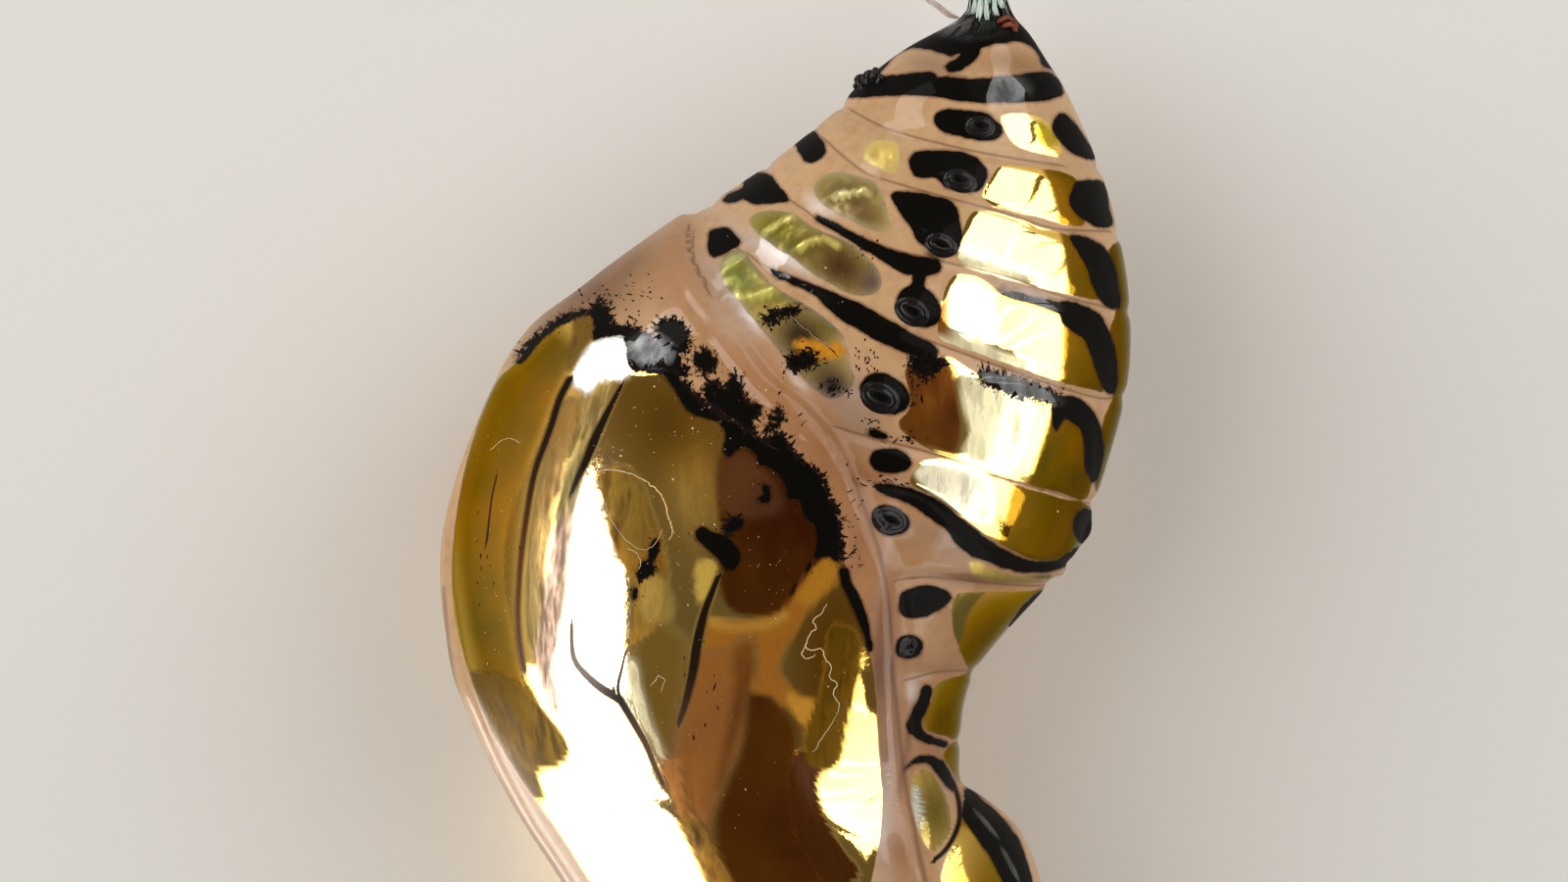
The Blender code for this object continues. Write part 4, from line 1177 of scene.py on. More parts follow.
# %% The shell, with its markings
inner = grid[1:-1]
chrysalis = add_object(
    "chrysalis_skin",
    np.vstack([inner.reshape(-1, 3), grid[0, :1], grid[-1, :1]]),
    skin_faces(len(inner), COLUMNS),
    skin,
)


def on_vertices(values):
    """One value a vertex of the shell, from one a point of the grid."""
    values = values.reshape(grid.shape[0], COLUMNS, -1)
    return np.concatenate([values[1:-1].reshape(-1, values.shape[2]), values[0, :1], values[-1, :1]])


for known, kind, field in ((marks, "FLOAT", "value"), (tints, "FLOAT_COLOR", "color")):
    for name, values in known.items():
        made = chrysalis.data.attributes.new(name, kind, "POINT")
        made.data.foreach_set(field, on_vertices(values).astype(np.float32).ravel())
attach(chrysalis, "root")
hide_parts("chrysalis")
print("skin:", len(chrysalis.data.vertices), "vertices")

# %% [markdown]
# ## Places on the skin
# The small pieces sit on the skin, so the skin itself says where. A ray along the eye's line through a
# pixel meets the near flank, and its mirror image meets the far one. The ray gives the point and the way
# out of the skin there.

# %% Find what a pixel shows
shell_points = np.array([vertex.co for vertex in chrysalis.data.vertices]) / MM + origin
shell_faces = [face.vertices[:] for face in chrysalis.data.polygons]
skin_surface = BVHTree.FromPolygons(shell_points.tolist(), shell_faces)


def behind_pixel(pixel, side=1):
    """The point of the skin seen in a pixel, and the way out of the skin there. Side -1 is the far flank."""
    start = Vector((*eye, EYE_HEIGHT * side))
    aim = Vector((*(eye + (np.array(pixel) - PICTURE_CENTRE) * PIXEL * UP), 0)) - start
    place, out, _, _ = skin_surface.ray_cast(start, aim.normalized())
    if place is None:
        place, out, _, _ = skin_surface.find_nearest(start + aim)
    return np.array(place), np.array(out if out.z * side > 0 else -out)


def joined(parts):
    """Several lots of points and faces as one."""
    points, faces, count = [], [], 0
    for part_points, part_faces in parts:
        points.append(part_points)
        faces += [tuple(corner + count for corner in face) for face in part_faces]
        count += len(part_points)
    return np.vstack(points), faces


def tube(path, radius, sides=4):
    """Points and faces of a thin round thread along a path, thinner at its ends."""
    path = np.asarray(path, float)
    run = np.gradient(path, axis=0)
    run /= np.linalg.norm(run, axis=1)[:, None]
    across = np.cross(run[0], (0.31, 0.52, 0.79))
    turns = np.linspace(0, 2 * math.pi, sides, endpoint=False)
    rings = []
    for k, (point, forward) in enumerate(zip(path, run)):
        across = across - forward * (across @ forward)
        across /= np.linalg.norm(across)
        thick = radius * min(1, 0.35 + 1.3 * min(k, len(path) - 1 - k) / len(path) * 4)
        sideways = np.outer(np.cos(turns), across) + np.outer(np.sin(turns), np.cross(forward, across))
        rings.append(point + thick * sideways)
    last = (len(path) - 1) * sides
    faces = [
        (r + s, r + (s + 1) % sides, r + sides + (s + 1) % sides, r + sides + s)
        for r in range(0, last, sides) for s in range(sides)
    ]
    faces += [tuple(range(sides))[::-1], tuple(range(last, last + sides))]
    return np.vstack(rings), faces


def grain(centre, out, size, rng):
    """Points and faces of a small lump with six uneven corners."""
    corners = np.array([(1, 0, 0), (-1, 0, 0), (0, 1, 0), (0, -1, 0), (0, 0, 1), (0, 0, -1)]) * size
    corners = corners * rng.uniform(0.5, 1.3, (6, 1)) + rng.normal(0, 0.15 * size, (6, 3))
    faces = [(0, 2, 4), (2, 1, 4), (1, 3, 4), (3, 0, 4), (2, 0, 5), (1, 2, 5), (3, 1, 5), (0, 3, 5)]
    return centre + out * size * 0.5 + corners, faces


print("skin surface:", len(shell_points), "points to sit on")

# %% [markdown]
# ## Breathing pores
# Each ring has a pore on either flank, a black lozenge with a raised lip round a slit that leads to the air
# tubes. The pore is a round grid laid on the skin and pressed up and down by its distance from two ovals. A
# bump map would do from afar, but the lips catch the light in fine lines, and those need a shape.

# %% Black skin of the pores and knobs
black_skin, tree, shader = new_material(
    "chitin_moulded_black",
    Coat_Weight=0.12, Coat_Roughness=0.05, Coat_IOR=1.5, IOR=1.56, Specular_IOR_Level=0.04,
)
place = add(tree, "TexCoord")["Object"]
wear = add(tree, "TexNoise", {"Vector": place, "Scale": 1 / (0.12 * MM), "Detail": 3.0})["Fac"]
shade = add(tree, "Mix", {0: wear, 6: linear("#060403"), 7: linear("#120C09")}, data_type="RGBA")[2]
tree.links.new(shade, shader.inputs["Base Color"])
tree.links.new(add(tree, "MapRange", wear, 0, 1, 0.4, 0.6)[0], shader.inputs["Roughness"])
uneven = add(tree, "Bump", {"Height": wear, "Distance": 0.01 * MM, "Strength": 0.5})[0]
tree.links.new(uneven, shader.inputs["Normal"])
print("black skin:", len(tree.nodes), "nodes")

# %% Pores, on both flanks
PORE_MARKS = (  # pixel, lean in degrees, size, how high its relief is
    ((1001, 128), -8, 0.70, 1.0), ((980, 183), -20, 0.80, 1.0), ((960, 249), -22, 0.75, 1.0),
    ((931, 317), -30, 0.85, 1.0), ((898, 405), -27, 0.92, 1.0), ((909, 531), -20, 0.80, 0.8),
    ((928, 660), 8, 0.60, 1.0),
)
PORE_LONG, PORE_SHORT, PORE_LIFT = 0.46, 0.345, 0.006  # mm
RIDGE, RIDGE_RISE = (0.35, 0.235), 0.014
LIPS, LIP_RISE, SLIT_DEPTH = (0.25, 0.115), 0.016, 0.025
PORE_RINGS, PORE_SPOKES = 24, 64


def pore_rise(along, across):
    """The height of a pore over the skin, from its ridge, its lips and the slit between them."""
    ridge = np.hypot(along / RIDGE[0], across / RIDGE[1])
    lips = np.hypot(along / LIPS[0], across / LIPS[1])
    rise = RIDGE_RISE * bump(ridge - 1, 0.06) + LIP_RISE * bump(lips - 1, 0.12)
    return rise - SLIT_DEPTH * (1 - step(lips - 0.3, 0.5))


def make_pore(pixel, lean, size, relief, side):
    """Points and faces of a pore, as spokes and rings laid on the skin behind a pixel."""
    middle_point, out = behind_pixel(pixel, side)
    turn = math.radians(lean)
    long_way = np.array([math.cos(turn), math.sin(turn), 0])
    long_way -= out * (long_way @ out)
    long_way /= np.linalg.norm(long_way)
    short_way = np.cross(out, long_way)
    spokes = np.linspace(0, 2 * math.pi, PORE_SPOKES, endpoint=False)
    reach, spoke = np.meshgrid(np.linspace(0, 1, PORE_RINGS + 1)[1:], spokes, indexing="ij")
    along = np.append(PORE_LONG * reach * np.cos(spoke), 0)
    across = np.append(PORE_SHORT * reach * np.sin(spoke), 0)
    edge = np.append(reach, 0)
    rise = size * (relief * pore_rise(along, across) + PORE_LIFT) - 0.02 * step(edge - 0.9, 0.1)
    flat = middle_point + size * (along[:, None] * long_way + across[:, None] * short_way)
    points = np.array([skin_surface.find_nearest(Vector(p))[0][:] for p in flat]) + rise[:, None] * out
    points[:, 2] = np.maximum(points[:, 2], rest_level)
    centre = PORE_RINGS * PORE_SPOKES
    faces = []
    for s in range(PORE_SPOKES):
        t = (s + 1) % PORE_SPOKES
        faces.append((centre, s, t))
        faces += [(r + s, r + PORE_SPOKES + s, r + PORE_SPOKES + t, r + t)
                  for r in range(0, centre - PORE_SPOKES, PORE_SPOKES)]
    return points, faces


pore_parts = [make_pore(*mark, side) for side in (1, -1) for mark in PORE_MARKS]
pores = add_object("breathing_pores", *joined(pore_parts), black_skin)
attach(pores, "root")
print("pores:", len(pores.data.polygons), "faces")

# %% [markdown]
# ## Knobs by the black band
# Where the black band of the tail meets the belly, a group of small glossy knobs stands up on each flank.
# Each is a ball squeezed and dented by noise, half sunk in the skin.

# %% Knobs of the tail
KNOB_SPOTS = (  # pixel, radius in mm
    ((876, 80), 0.13), ((888, 80), 0.16), ((898, 81), 0.10), ((882, 72), 0.08), ((870, 76), 0.055),
    ((871, 85), 0.06), ((893, 72), 0.06), ((880, 88), 0.06),
)


def ball(centre, radius, rows=8, spokes=14):
    """Points and faces of a small dented ball."""
    down = np.linspace(0, math.pi, rows + 1)[1:-1]
    turn = np.linspace(0, 2 * math.pi, spokes, endpoint=False)
    down, turn = (a.ravel() for a in np.meshgrid(down, turn, indexing="ij"))
    ways = np.stack([np.sin(down) * np.cos(turn), np.sin(down) * np.sin(turn), np.cos(down)], axis=1)
    ways = np.vstack([ways, (0, 0, 1), (0, 0, -1)])
    dents = np.array([1 + 0.5 * noise.noise(Vector(centre + way * radius) / (1.6 * radius)) for way in ways])
    top, bottom, last = len(ways) - 2, len(ways) - 1, (rows - 2) * spokes
    faces = []
    for s in range(spokes):
        t = (s + 1) % spokes
        faces += [(top, s, t), (bottom, last + t, last + s)]
        faces += [(r + s, r + spokes + s, r + spokes + t, r + t) for r in range(0, last, spokes)]
    return centre + ways * (radius * dents)[:, None], faces


knob_balls = []
for side in (1, -1):
    for pixel, radius in KNOB_SPOTS:
        spot, out = behind_pixel(pixel, side)
        knob_balls.append(ball(spot - out * radius * 0.15, radius, 16, 28))
knobs = add_object("tail_knobs", *joined(knob_balls), black_skin)
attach(knobs, "root")
print("knobs:", len(knob_balls))

# %% [markdown]
# ## Silk and hooks
# The caterpillar spins a pad of silk and the pupa grips it with dozens of hooks on the end of its tail.
# Silk is a fibre a few thousandths of a millimetre thick, so it is drawn here about five times as thick, or
# it wouldn't show. Threads are wound round a core in all directions, and more run down over the stalk.

# %% Silk and amber finishes
silk_finish = clouded(
    "silk_spun_raw", 0.35, "#7FAF9F", "#E3E7DA",
    Roughness=0.38, IOR=1.54, Sheen_Weight=0.4, Subsurface_Weight=0.15, Subsurface_Scale=0.0002,
)
dusty_silk = clouded(
    "silk_spun_dusty", 0.15, "#8E6F60", "#D2BCAE", Roughness=0.45, IOR=1.54, Sheen_Weight=0.3,
)
amber_finish = clouded(
    "chitin_hooked_amber", 0.2, "#3A1404", "#8E3C10",
    Coat_Weight=0.06, Coat_Roughness=0.1, Roughness=0.5, IOR=1.56, Specular_IOR_Level=0.08,
)
print("finishes:", silk_finish.name, dusty_silk.name, amber_finish.name)

# %% The wound pad
silk_low, silk_high = (np.array(corner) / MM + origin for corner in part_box("silk_pad"))
pad_middle, pad_half = (silk_low + silk_high) / 2, (silk_high - silk_low) / 2
THREAD_RADIUS = 0.009  # mm
PAD_THREADS, CORE_SHARE = 230, 0.84
rng = np.random.default_rng(7)
core = ball(np.zeros(3), 1.0, 24, 40)
pad_parts = [(pad_middle + core[0] * pad_half * CORE_SHARE, core[1])]
for k in range(PAD_THREADS):
    first = rng.normal(size=3)
    first /= np.linalg.norm(first)
    second = np.cross(first, rng.normal(size=3))
    second /= np.linalg.norm(second)
    t = np.linspace(0, rng.uniform(2.0, 5.5), 34) + rng.uniform(0, 6.3)
    way = np.outer(np.cos(t), first) + np.outer(np.sin(t), second)
    way += 0.12 * np.stack([np.sin(t * 2.3 + k), np.cos(t * 1.7 + k), np.sin(t * 3.1 - k)], axis=1)
    way /= np.linalg.norm(way, axis=1)[:, None]
    reach = 0.90 + 0.07 * np.sin(3 * t + k) - 0.02
    pad_parts.append(tube(pad_middle + way * reach[:, None] * (pad_half - THREAD_RADIUS), THREAD_RADIUS, 3))
pad = add_object("silk_wound_pad", *joined(pad_parts), silk_finish)
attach(pad, "root")
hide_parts("silk_pad")
print("silk pad:", len(pad.data.polygons), "faces")

# %% Strands down the stalk, and the hooks
STALK_AXIS = np.array([3.68, 0])  # x and z of the side view
STALK_TOP, HOOK_FOOT = 10.66, 10.64  # y of the side view
OUTSIDE, STALK_RADIUS = 3, 0.28  # mm: where a ray at the stalk starts, and the stalk where the ray misses


def on_stalk(y, turn, lift):
    """A point on the stalk at height y of the side view, in the direction turn round its axis."""
    way = np.array([math.cos(turn), 0, math.sin(turn)])
    start = np.array([STALK_AXIS[0], y, STALK_AXIS[1]]) + OUTSIDE * way
    place = skin_surface.ray_cast(Vector(start), Vector(-way), OUTSIDE)[0]
    return (np.array(place) if place else start - (OUTSIDE - STALK_RADIUS) * way) + way * lift


def up_to_pad(turn, twist, foot, lifts, tuck):
    """A path up the stalk from height foot, with a point for each lift off the skin, and on into the pad."""
    heights = np.linspace(foot, STALK_TOP, len(lifts))
    path = [on_stalk(y, turn + twist * (y - foot), lift) for y, lift in zip(heights, lifts)]
    top = pad_middle + (np.array([math.cos(turn), -1.1, math.sin(turn)]) * pad_half * tuck)
    return spline(np.vstack([path, (path[-1] + top) / 2, top]), np.linspace(0, len(lifts) + 1, 34))


strands = []
for k in range(40):
    turn, twist, foot = rng.uniform(0, 2 * math.pi), rng.normal(0, 0.35), rng.uniform(9.95, 10.45)
    lifts = [0.012 + 0.01 * rng.random() for _ in range(12)]
    path = up_to_pad(turn, twist, foot, lifts, 0.7)
    strands.append(tube(path, THREAD_RADIUS * rng.uniform(0.9, 2.2), 4))
BROAD_STRANDS = (  # turn round the stalk, and where the strand ends
    (1.95, 10.02), (1.62, 9.98), (1.25, 10.06), (0.95, 10.20), (2.35, 10.10), (4.3, 10.0), (5.2, 10.1),
)
BROAD_RADIUS = 0.030  # mm
for turn, foot in BROAD_STRANDS:
    path = up_to_pad(turn, 0.1, foot, [0.02] * 10, 0.6)
    for lay in (0, 2.1, 4.2):
        around = 5 * np.linspace(0, 1, len(path)) + lay
        wound = path + 0.028 * np.stack([np.cos(around), 0 * around, np.sin(around)], axis=1)
        strands.append(tube(wound, BROAD_RADIUS, 6))
LOOSE_STRAND = (
    "3.12,10.02,0.34 2.95,10.1,0.36 2.75,10.25,0.34 2.55,10.4,0.28 2.5,10.62,0.2 2.7,10.85,0.1 "
    "3.05,11.02,0.05"
)
loose = []
for k in range(5):
    shift = (0.035 * math.cos(1.3 * k), 0.02 * math.sin(2 * k), 0.035 * math.sin(1.3 * k))
    loose.append(tube(smooth_line(drawn(LOOSE_STRAND) + shift, 8), BROAD_RADIUS, 6))
loose_strand = add_object("silk_loose_strand", *joined(loose), dusty_silk)
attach(loose_strand, "root")
silk_strands = add_object("silk_strands", *joined(strands), silk_finish)
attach(silk_strands, "root")

HOOK_CURL = ((0, 0), (0.12, 0.01), (0.20, 0.05), (0.21, 0.11), (0.16, 0.14))  # mm up, and outwards
hooks = []
for k in range(48):
    turn, reach = rng.uniform(0, 2 * math.pi), 0.26 * math.sqrt(rng.random())
    way = np.array([math.cos(turn), 0, math.sin(turn)])
    root = np.array([STALK_AXIS[0], HOOK_FOOT, 0]) + way * reach
    curl = [root + (0, up, 0) + way * out for up, out in HOOK_CURL]
    hooks.append(tube(smooth_line(curl, 4), 0.016, 5))
SIDE_HOOKS = (
    "1018,24 1026,20 1034,23 1037,29",
    "1023,28 1029,27 1034,29 1036,33",
)
for side in (1, -1):
    for text in SIDE_HOOKS:
        curl = []
        for k, pixel in enumerate(drawn(text)):
            spot, out = behind_pixel(pixel, side)
            curl.append(spot + out * (0.01 + 0.04 * (k == 1)))
        hooks.append(tube(smooth_line(curl, 5), 0.055, 8))
tail_hooks = add_object("tail_hooks", *joined(hooks), amber_finish)
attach(tail_hooks, "root")
print("silk:", len(silk_strands.data.polygons), "faces of strands;", len(hooks), "hooks")

# %% [markdown]
# ## Strokes of the black marks
# The wing case's black marks break up at their edges into short strokes, and fine hair-like ones lie
# scattered on the skin round them. They are finer than the shell's own grid, so each is a thin sliver sunk
# in the skin: a line drawn in the picture, laid on the skin, with a flat diamond of four corners round each
# of its points.

# %% Slivers along the frayed marks
melanin = clouded(
    "chitin_darkened_black", 0.08, "#050302", "#22130A", Roughness=0.8, IOR=1.56, Specular_IOR_Level=0.02,
)
SLIVER_RISE, SLIVER_ROOT = 0.005, 0.012  # mm over and under the skin


def sliver(pixels, width, side, rooted):
    """Points and faces of a flat stroke on the skin, along pixels of the picture. The width is in mm.

    A rooted stroke is broad where it starts, inside its mark, and the others are pointed at both ends."""
    spots = [behind_pixel(pixel, side) for pixel in pixels]
    path, outs = (np.array(part) for part in zip(*spots))
    run = np.gradient(path, axis=0)
    across = np.cross(outs, run)
    across /= np.maximum(np.linalg.norm(across, axis=1)[:, None], 1e-9)
    share = np.linspace(0, 1, len(path))
    swell = (1.04 - share) ** 0.6 if rooted else np.sin(0.2 + (math.pi - 0.4) * share)
    swell = swell[:, None] * width / 2
    reach = across * swell
    rings = [path + reach, path + outs * SLIVER_RISE, path - reach, path - outs * SLIVER_ROOT]
    rings = np.stack(rings, axis=1)
    last = (len(path) - 1) * 4
    faces = [
        (r + c, r + (c + 1) % 4, r + 4 + (c + 1) % 4, r + 4 + c) for r in range(0, last, 4) for c in range(4)
    ]
    faces += [(3, 2, 1, 0), (last, last + 1, last + 2, last + 3)]
    return rings.reshape(-1, 3), faces


FRAYS = {  # how many strokes leave each mark's edge, and their mean length in pixels
    "wing front": (60, 3), "wing blob 1": (20, 3), "wing blob 2": (12, 2.5), "wing mass": (50, 3.5),
    "wing band": (330, 3.5), "ring 4 top": (14, 2.5), "belly scribble": (20, 3),
    "belly specks": (16, 3), "ring 4 specks": (20, 3), "cell chain 1": (6, 2), "cell spot 3": (10, 3),
}
LOOSE_SPECKS = {  # centre and scatter in pixels, lean in degrees, how many
    "wing front": ((640, 306), (34, 14), -40, 40), "above the band": ((788, 424), (20, 12), 50, 26),
    "beside the band": ((870, 550), (6, 40), 30, 26), "over the ring 4 pore": ((884, 368), (8, 11), 88, 34),
    "on belly 5": ((852, 395), (9, 5), 60, 30), "by ring 4": ((938, 374), (10, 6), 20, 34),
    "behind the ring 4 pore": ((937, 404), (5, 10), 70, 14),
    "over the ring 4 oval": ((892, 432), (7, 3), 0, 14),
    "beside the ring 4 oval": ((921, 448), (9, 4), -20, 26),
    "under the ring 3 oval": ((903, 494), (10, 4), -10, 24),
    "belly 5, orange": ((820, 364), (12, 6), 10, 22),
    "under the ring 7 patch": ((880, 252), (12, 10), 60, 10),
    "wing left": ((498, 560), (14, 50), 80, 12), "by the cell": ((716, 690), (14, 30), 80, 12),
}
FRAY_WIDTH, SPECK_WIDTH = (0.045, 0.10), (0.018, 0.045)  # mm
rng = np.random.default_rng(11)
panel_edge = smooth_ring(WING_PANEL)
panel_edge = np.vstack([panel_edge, panel_edge[:1]])
strokes = []
for name, (count, length) in FRAYS.items():
    edge = smooth_ring(FRAYED_MARKS[name])
    turning = np.roll(edge, -1, axis=0) - np.roll(edge, 1, axis=0)
    area = (edge[:, 0] * np.roll(edge[:, 1], -1) - np.roll(edge[:, 0], -1) * edge[:, 1]).sum()
    outward = np.stack([turning[:, 1], -turning[:, 0]], axis=1) * np.sign(area)
    outward /= np.linalg.norm(outward, axis=1)[:, None]
    for k in rng.integers(len(edge), size=count):
        long = min(rng.exponential(length) + 1, 3 * length)
        lean = rng.normal(0, 0.5)
        way = outward[k] @ np.array([[math.cos(lean), math.sin(lean)], [-math.sin(lean), math.cos(lean)]])
        bend = rng.normal(0, 0.10, 2) * long
        start, end = edge[k] - way * 2, edge[k] + way * long
        broad = rng.uniform(*FRAY_WIDTH)
        if name.startswith("wing") and enclosed((edge[k] + way * 3)[None], panel_edge)[0]:
            continue
        strokes.append(((start, (start + end) / 2 + bend, end), broad, True))
for centre, scatter, lean, count in LOOSE_SPECKS.values():
    for spot in rng.normal(centre, scatter, (count, 2)):
        turn, long = math.radians(lean) + rng.normal(0, 0.4), 0.7 + min(rng.exponential(1.1), 4)
        way = np.array([math.cos(turn), -math.sin(turn)]) * long
        bent = (spot - way, spot + rng.normal(0, 0.4, 2), spot + way)
        strokes.append((bent, rng.uniform(*SPECK_WIDTH), False))
slivers = [
    sliver(smooth_line(line, 3), width, side, rooted) for side in (1, -1) for line, width, rooted in strokes
]
black_strokes = add_object("melanin_strokes", *joined(slivers), melanin)
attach(black_strokes, "root")
print("strokes:", len(slivers), "slivers,", len(black_strokes.data.polygons), "faces")

# %% [markdown]
# ## Lint and dust
# A few fibres of lint cling to the wing case, and grains of dust lie all over its gold, each bright against
# the dark of the mirror. Every one is a shape of its own that rests on the skin: thin tubes along drawn
# lines, and lumps of six corners.

# %% Lint and dust
lint_finish = clouded("cotton_lint", 0.3, "#C9A64E", "#FFF3CE", Roughness=0.7, Sheen_Weight=0.3)
dust_finish = clouded("dust_settled", 0.5, "#E0C060", "#FFF9E6", Roughness=0.8)
LINT = {  # pixels, radius in mm
    "arc": ("604,484 616,480 630,480 645,484 659,491 670,500 677,509 680,520 684,533 688,545", 0.0085),
    "arc tail": ("684,533 686,542 682,552", 0.006),
    "faint arc": ("612,500 630,540 652,560 668,556 676,540", 0.005),
    "crinkle": (
        "843,617 838,626 829,634 833,640 826,648 822,660 829,663 838,662 842,672 848,680 846,690 853,698 "
        "850,708 856,720 853,730", 0.009),
    "crinkle side": ("822,660 818,668 824,672 832,668", 0.007),
    "crinkle end": ("853,730 846,742 838,754 830,767", 0.005),
    "short 1": ("640,560 648,563 654,572 652,582", 0.006),
    "short 2": ("500,460 516,448 532,452", 0.005),
    "short 3": ("664,700 672,690 678,694 674,706", 0.006),
    "short 4": ("806,322 822,336 838,348 852,358", 0.004),
    "short 5": ("560,640 566,654 562,668", 0.005),
}
lint = []
for side in (1, -1):
    for text, radius in LINT.values():
        fibre = smooth_line(drawn(text), 5)
        fibre = fibre + rng.normal(0, 0.35, fibre.shape)
        path = []
        for k, pixel in enumerate(fibre):
            spot, out = behind_pixel(pixel, side)
            path.append(spot + out * radius * (1.2 + abs(math.sin(k * 1.3))))
        lint.append(tube(smooth_line(path, 3), radius, 4))
lint_fibres = add_object("lint_fibres", *joined(lint), lint_finish)
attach(lint_fibres, "root")

DUSTY = {  # centre in pixels, how far the grains scatter, how many
    "wing top": ((620, 440), (60, 50), 50), "under the band": ((740, 440), (50, 50), 30),
    "wing middle": ((690, 560), (60, 80), 45), "wing left": ((510, 560), (30, 150), 35),
    "wing cell": ((790, 580), (40, 60), 22), "wing low": ((700, 760), (80, 80), 35),
    "wing right": ((850, 740), (30, 90), 22), "belly": ((820, 290), (60, 60), 22),
    "rings": ((1030, 330), (70, 160), 24),
}
GRAIN_SIZES = (0.006, 0.012)  # mm, and one in ten is about twice as big
grains = []
for side in (1, -1):
    for centre, scatter, count in DUSTY.values():
        for pixel in rng.normal(centre, np.array(scatter) / 1.6, (count, 2)):
            spot, out = behind_pixel(pixel, side)
            size = rng.uniform(*GRAIN_SIZES) * (1 + 1.2 * (rng.random() > 0.9))
            grains.append(grain(spot, out, size, rng))
dust_grains = add_object("dust_grains", *joined(grains), dust_finish)
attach(dust_grains, "root")
print("lint:", len(lint), "fibres; dust:", len(grains), "grains")

# %% [markdown]
# ## Floor, light and camera
# A mirror shows its surroundings, so the room is part of the finish. A row of bright panels on the left and
# one on the right give the long streaks, and their tops and feet give the streaks' edges. The dim ceiling
# between them is mirrored dark in the middle, and the amber and brown there are painted into the gold as
# painted shade. The panels are seen only in gloss, and so are four cards that lie on the floor where the
# foot of the left streak is mirrored. Three wide soft lights, unseen in gloss, light the cream skin.

# %% A plain pale floor
FLOOR_SIZE = 3.0  # m
floor_mesh = bpy.data.meshes.new("floor")
half = FLOOR_SIZE / 2
floor_corners = [(-half, -half, 0), (half, -half, 0), (half, half, 0), (-half, half, 0)]
floor_mesh.from_pydata(floor_corners, [], [(0, 1, 2, 3)])
floor = bpy.data.objects.new("floor", floor_mesh)
bpy.context.scene.collection.objects.link(floor)
floor_finish, _, floor_shader = new_material("plaster_matt_white", Roughness=0.9)
floor_shader.inputs["Base Color"].default_value = linear("#EEEBE6")
floor_mesh.materials.append(floor_finish)
floor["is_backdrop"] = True
print("floor:", FLOOR_SIZE, "m wide")

# %% Soft studio light
middle = Vector((0, 0, body_high[2] * MM / 2))


def softbox(name, at, facing, size, radiance, lights):
    """A soft rectangular light at a place in metres. It lights the skin, or is only seen in the gloss."""
    lamp = bpy.data.lights.new(name, "AREA")
    lamp.shape = "RECTANGLE"
    lamp.size, lamp.size_y = size
    lamp.energy = radiance * math.pi * size[0] * size[1]
    made = bpy.data.objects.new(name, lamp)
    made.location = at
    made.rotation_mode = "QUATERNION"
    made.rotation_quaternion = Vector(facing).to_track_quat("-Z", "Y")
    bpy.context.scene.collection.objects.link(made)
    made.visible_camera = False
    made.visible_diffuse = lights == "skin"
    made.visible_glossy = lights == "gloss"
    return made


def panel(name, turns, rises, radiance, lights, away=0.6):
    """A softbox that fills a range of directions from the object, in degrees: turns from +X towards +Y, and
    rises above the floor."""
    turn, rise = (math.radians(sum(ends) / 2) for ends in (turns, rises))
    direction = Vector((math.cos(turn) * math.cos(rise), math.sin(turn) * math.cos(rise), math.sin(rise)))
    width, height = (2 * away * math.tan(math.radians(ends[1] - ends[0]) / 2) for ends in (turns, rises))
    size = (width * math.cos(rise), height)
    return softbox(name, middle + direction * away, -direction, size, radiance, lights)


WHITE, BRIGHT, DIM = 12.0, 6.0, 0.7
MIRRORED = (  # name, turns and rises in degrees, radiance
    ("left, high", (112, 148), (-6, 16), WHITE),
    ("left, tip", (159, 162), (13, 27), WHITE),
    ("left, narrow", (161, 165), (13, 32), WHITE),
    ("left, slanted", (164, 169), (13, 39), WHITE),
    ("left", (168, 186), (13, 45), WHITE),
    ("left, foot", (150, 186), (-2, 13), DIM),
    ("left, low", (185, 201), (1, 42), WHITE),
    ("left, lower", (200, 209), (-1, 36), WHITE),
    ("left, lowest", (208, 236), (-1, 29), WHITE),
    ("right, high", (44, 78), (-1, 60), BRIGHT),
    ("right, slanted", (31, 45), (-1, 56), BRIGHT),
    ("right, tall", (19, 32), (-1, 66), BRIGHT),
    ("right, narrow", (11, 20), (-1, 45), BRIGHT),
    ("right", (-5, 12), (-1, 38), BRIGHT),
    ("right, low", (-31, -4), (-1, 34), BRIGHT),
    ("right, lowest", (-82, -30), (-1, 40), BRIGHT),
)
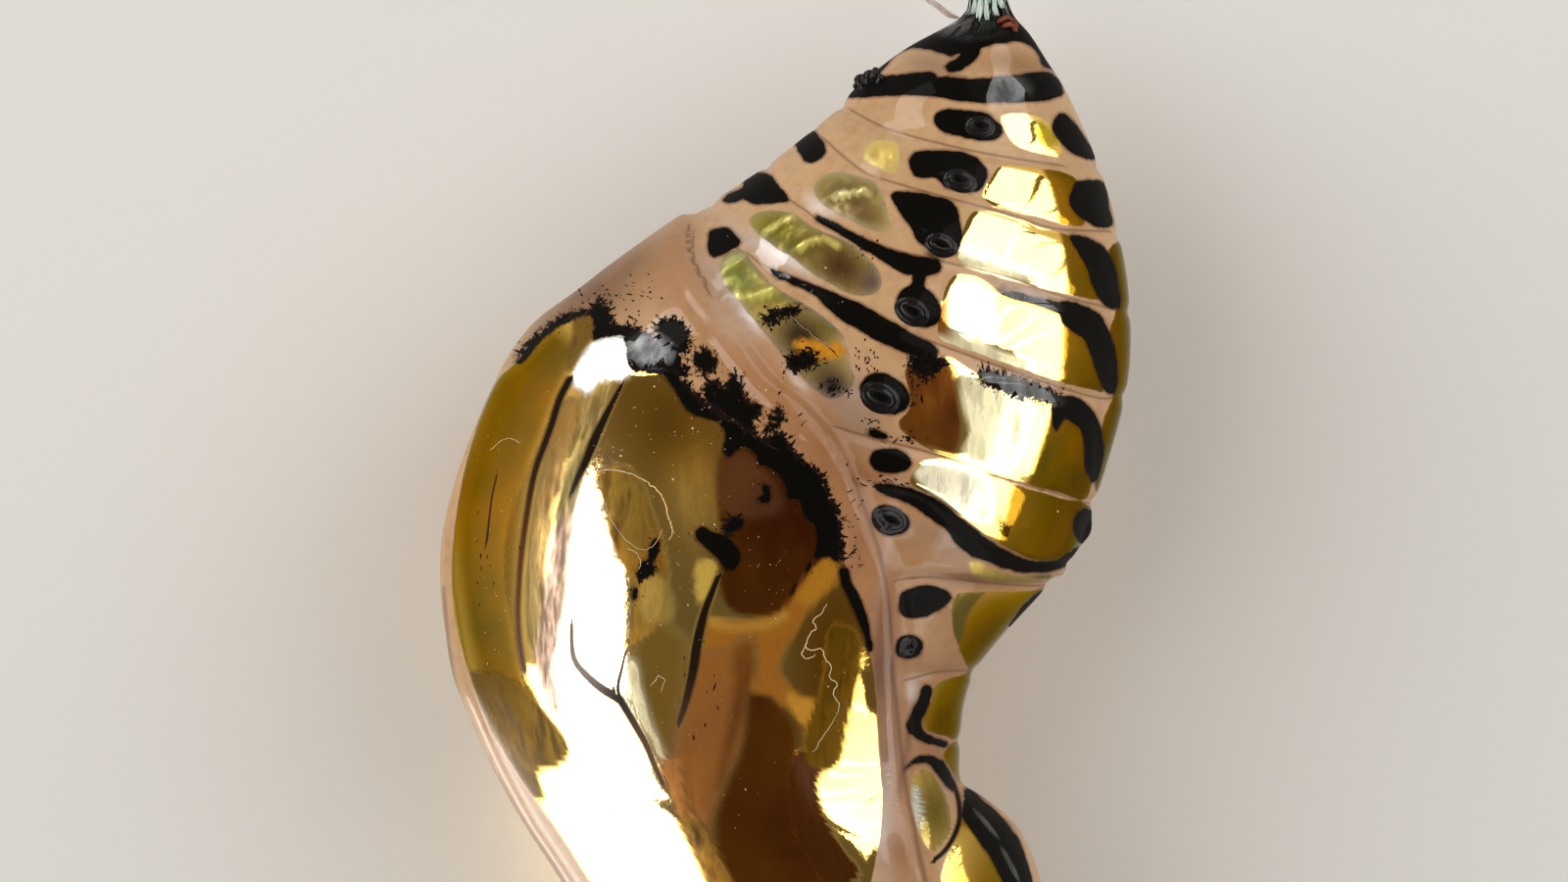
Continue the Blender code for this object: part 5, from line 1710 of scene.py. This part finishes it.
for name, turns, rises, radiance in MIRRORED:
    panel(name, turns, rises, radiance, "gloss")
CARD_START, CARD_WIDTH = np.array([-4.5, -4.1]), 3.0  # mm
CARD_TURN, CARD_SPREAD = math.radians(214), math.radians(10)
CARD_LIFT = 0.0004  # m
for near, far in ((3, 12), (12, 40), (40, 140), (140, 560)):  # mm
    out = (near + far) / 2
    at = (CARD_START + out * np.array([math.cos(CARD_TURN), math.sin(CARD_TURN)])) * MM
    size = ((far - near) * MM, (CARD_WIDTH + 2 * out * math.tan(CARD_SPREAD)) * MM)
    card = softbox(f"floor card {near}", (*at, CARD_LIFT), (0, 0, 1), size, BRIGHT, "gloss")
    card.rotation_mode = "XYZ"
    card.rotation_euler = (math.pi, 0, CARD_TURN)
for name, turns, rises, radiance, away in (
    ("left fill", (130, 190), (15, 75), 2.2, 0.5), ("right fill", (-10, 50), (15, 75), 1.6, 0.5),
    ("top fill", (240, 300), (60, 100), 0.7, 0.6),
):
    panel(name, turns, rises, radiance, "skin", away)
world = bpy.data.worlds.new("dim room")
world.use_nodes = True
world.node_tree.nodes["Background"].inputs["Color"].default_value = linear("#6E6A64")
world.node_tree.nodes["Background"].inputs["Strength"].default_value = 1.0
bpy.context.scene.world = world
bpy.context.scene.view_settings.view_transform = "Standard"
print(len(MIRRORED), "mirrored panels,", len(bpy.data.lights), "lights in all")

# %% Camera
SENSOR, PICTURE_WIDTH = 36.0, 1600
camera = bpy.data.objects.new("camera", bpy.data.cameras.new("camera"))
bpy.context.scene.collection.objects.link(camera)
camera.data.sensor_width = SENSOR
camera.data.lens = SENSOR * EYE_HEIGHT / (PICTURE_WIDTH * PIXEL)
camera.data.clip_start, camera.data.clip_end = 0.01, 10
camera.location = Vector((eye[0] - origin[0], eye[1] - origin[1], EYE_HEIGHT - origin[2])) * MM
bpy.context.scene.camera = camera
print("camera at", [round(c, 4) for c in camera.location], "m, lens", round(camera.data.lens, 1), "mm")

# %% Sizes, and finish
low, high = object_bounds()
print("visual box, mm:", [round(c / MM, 2) for c in (*low, *high)])
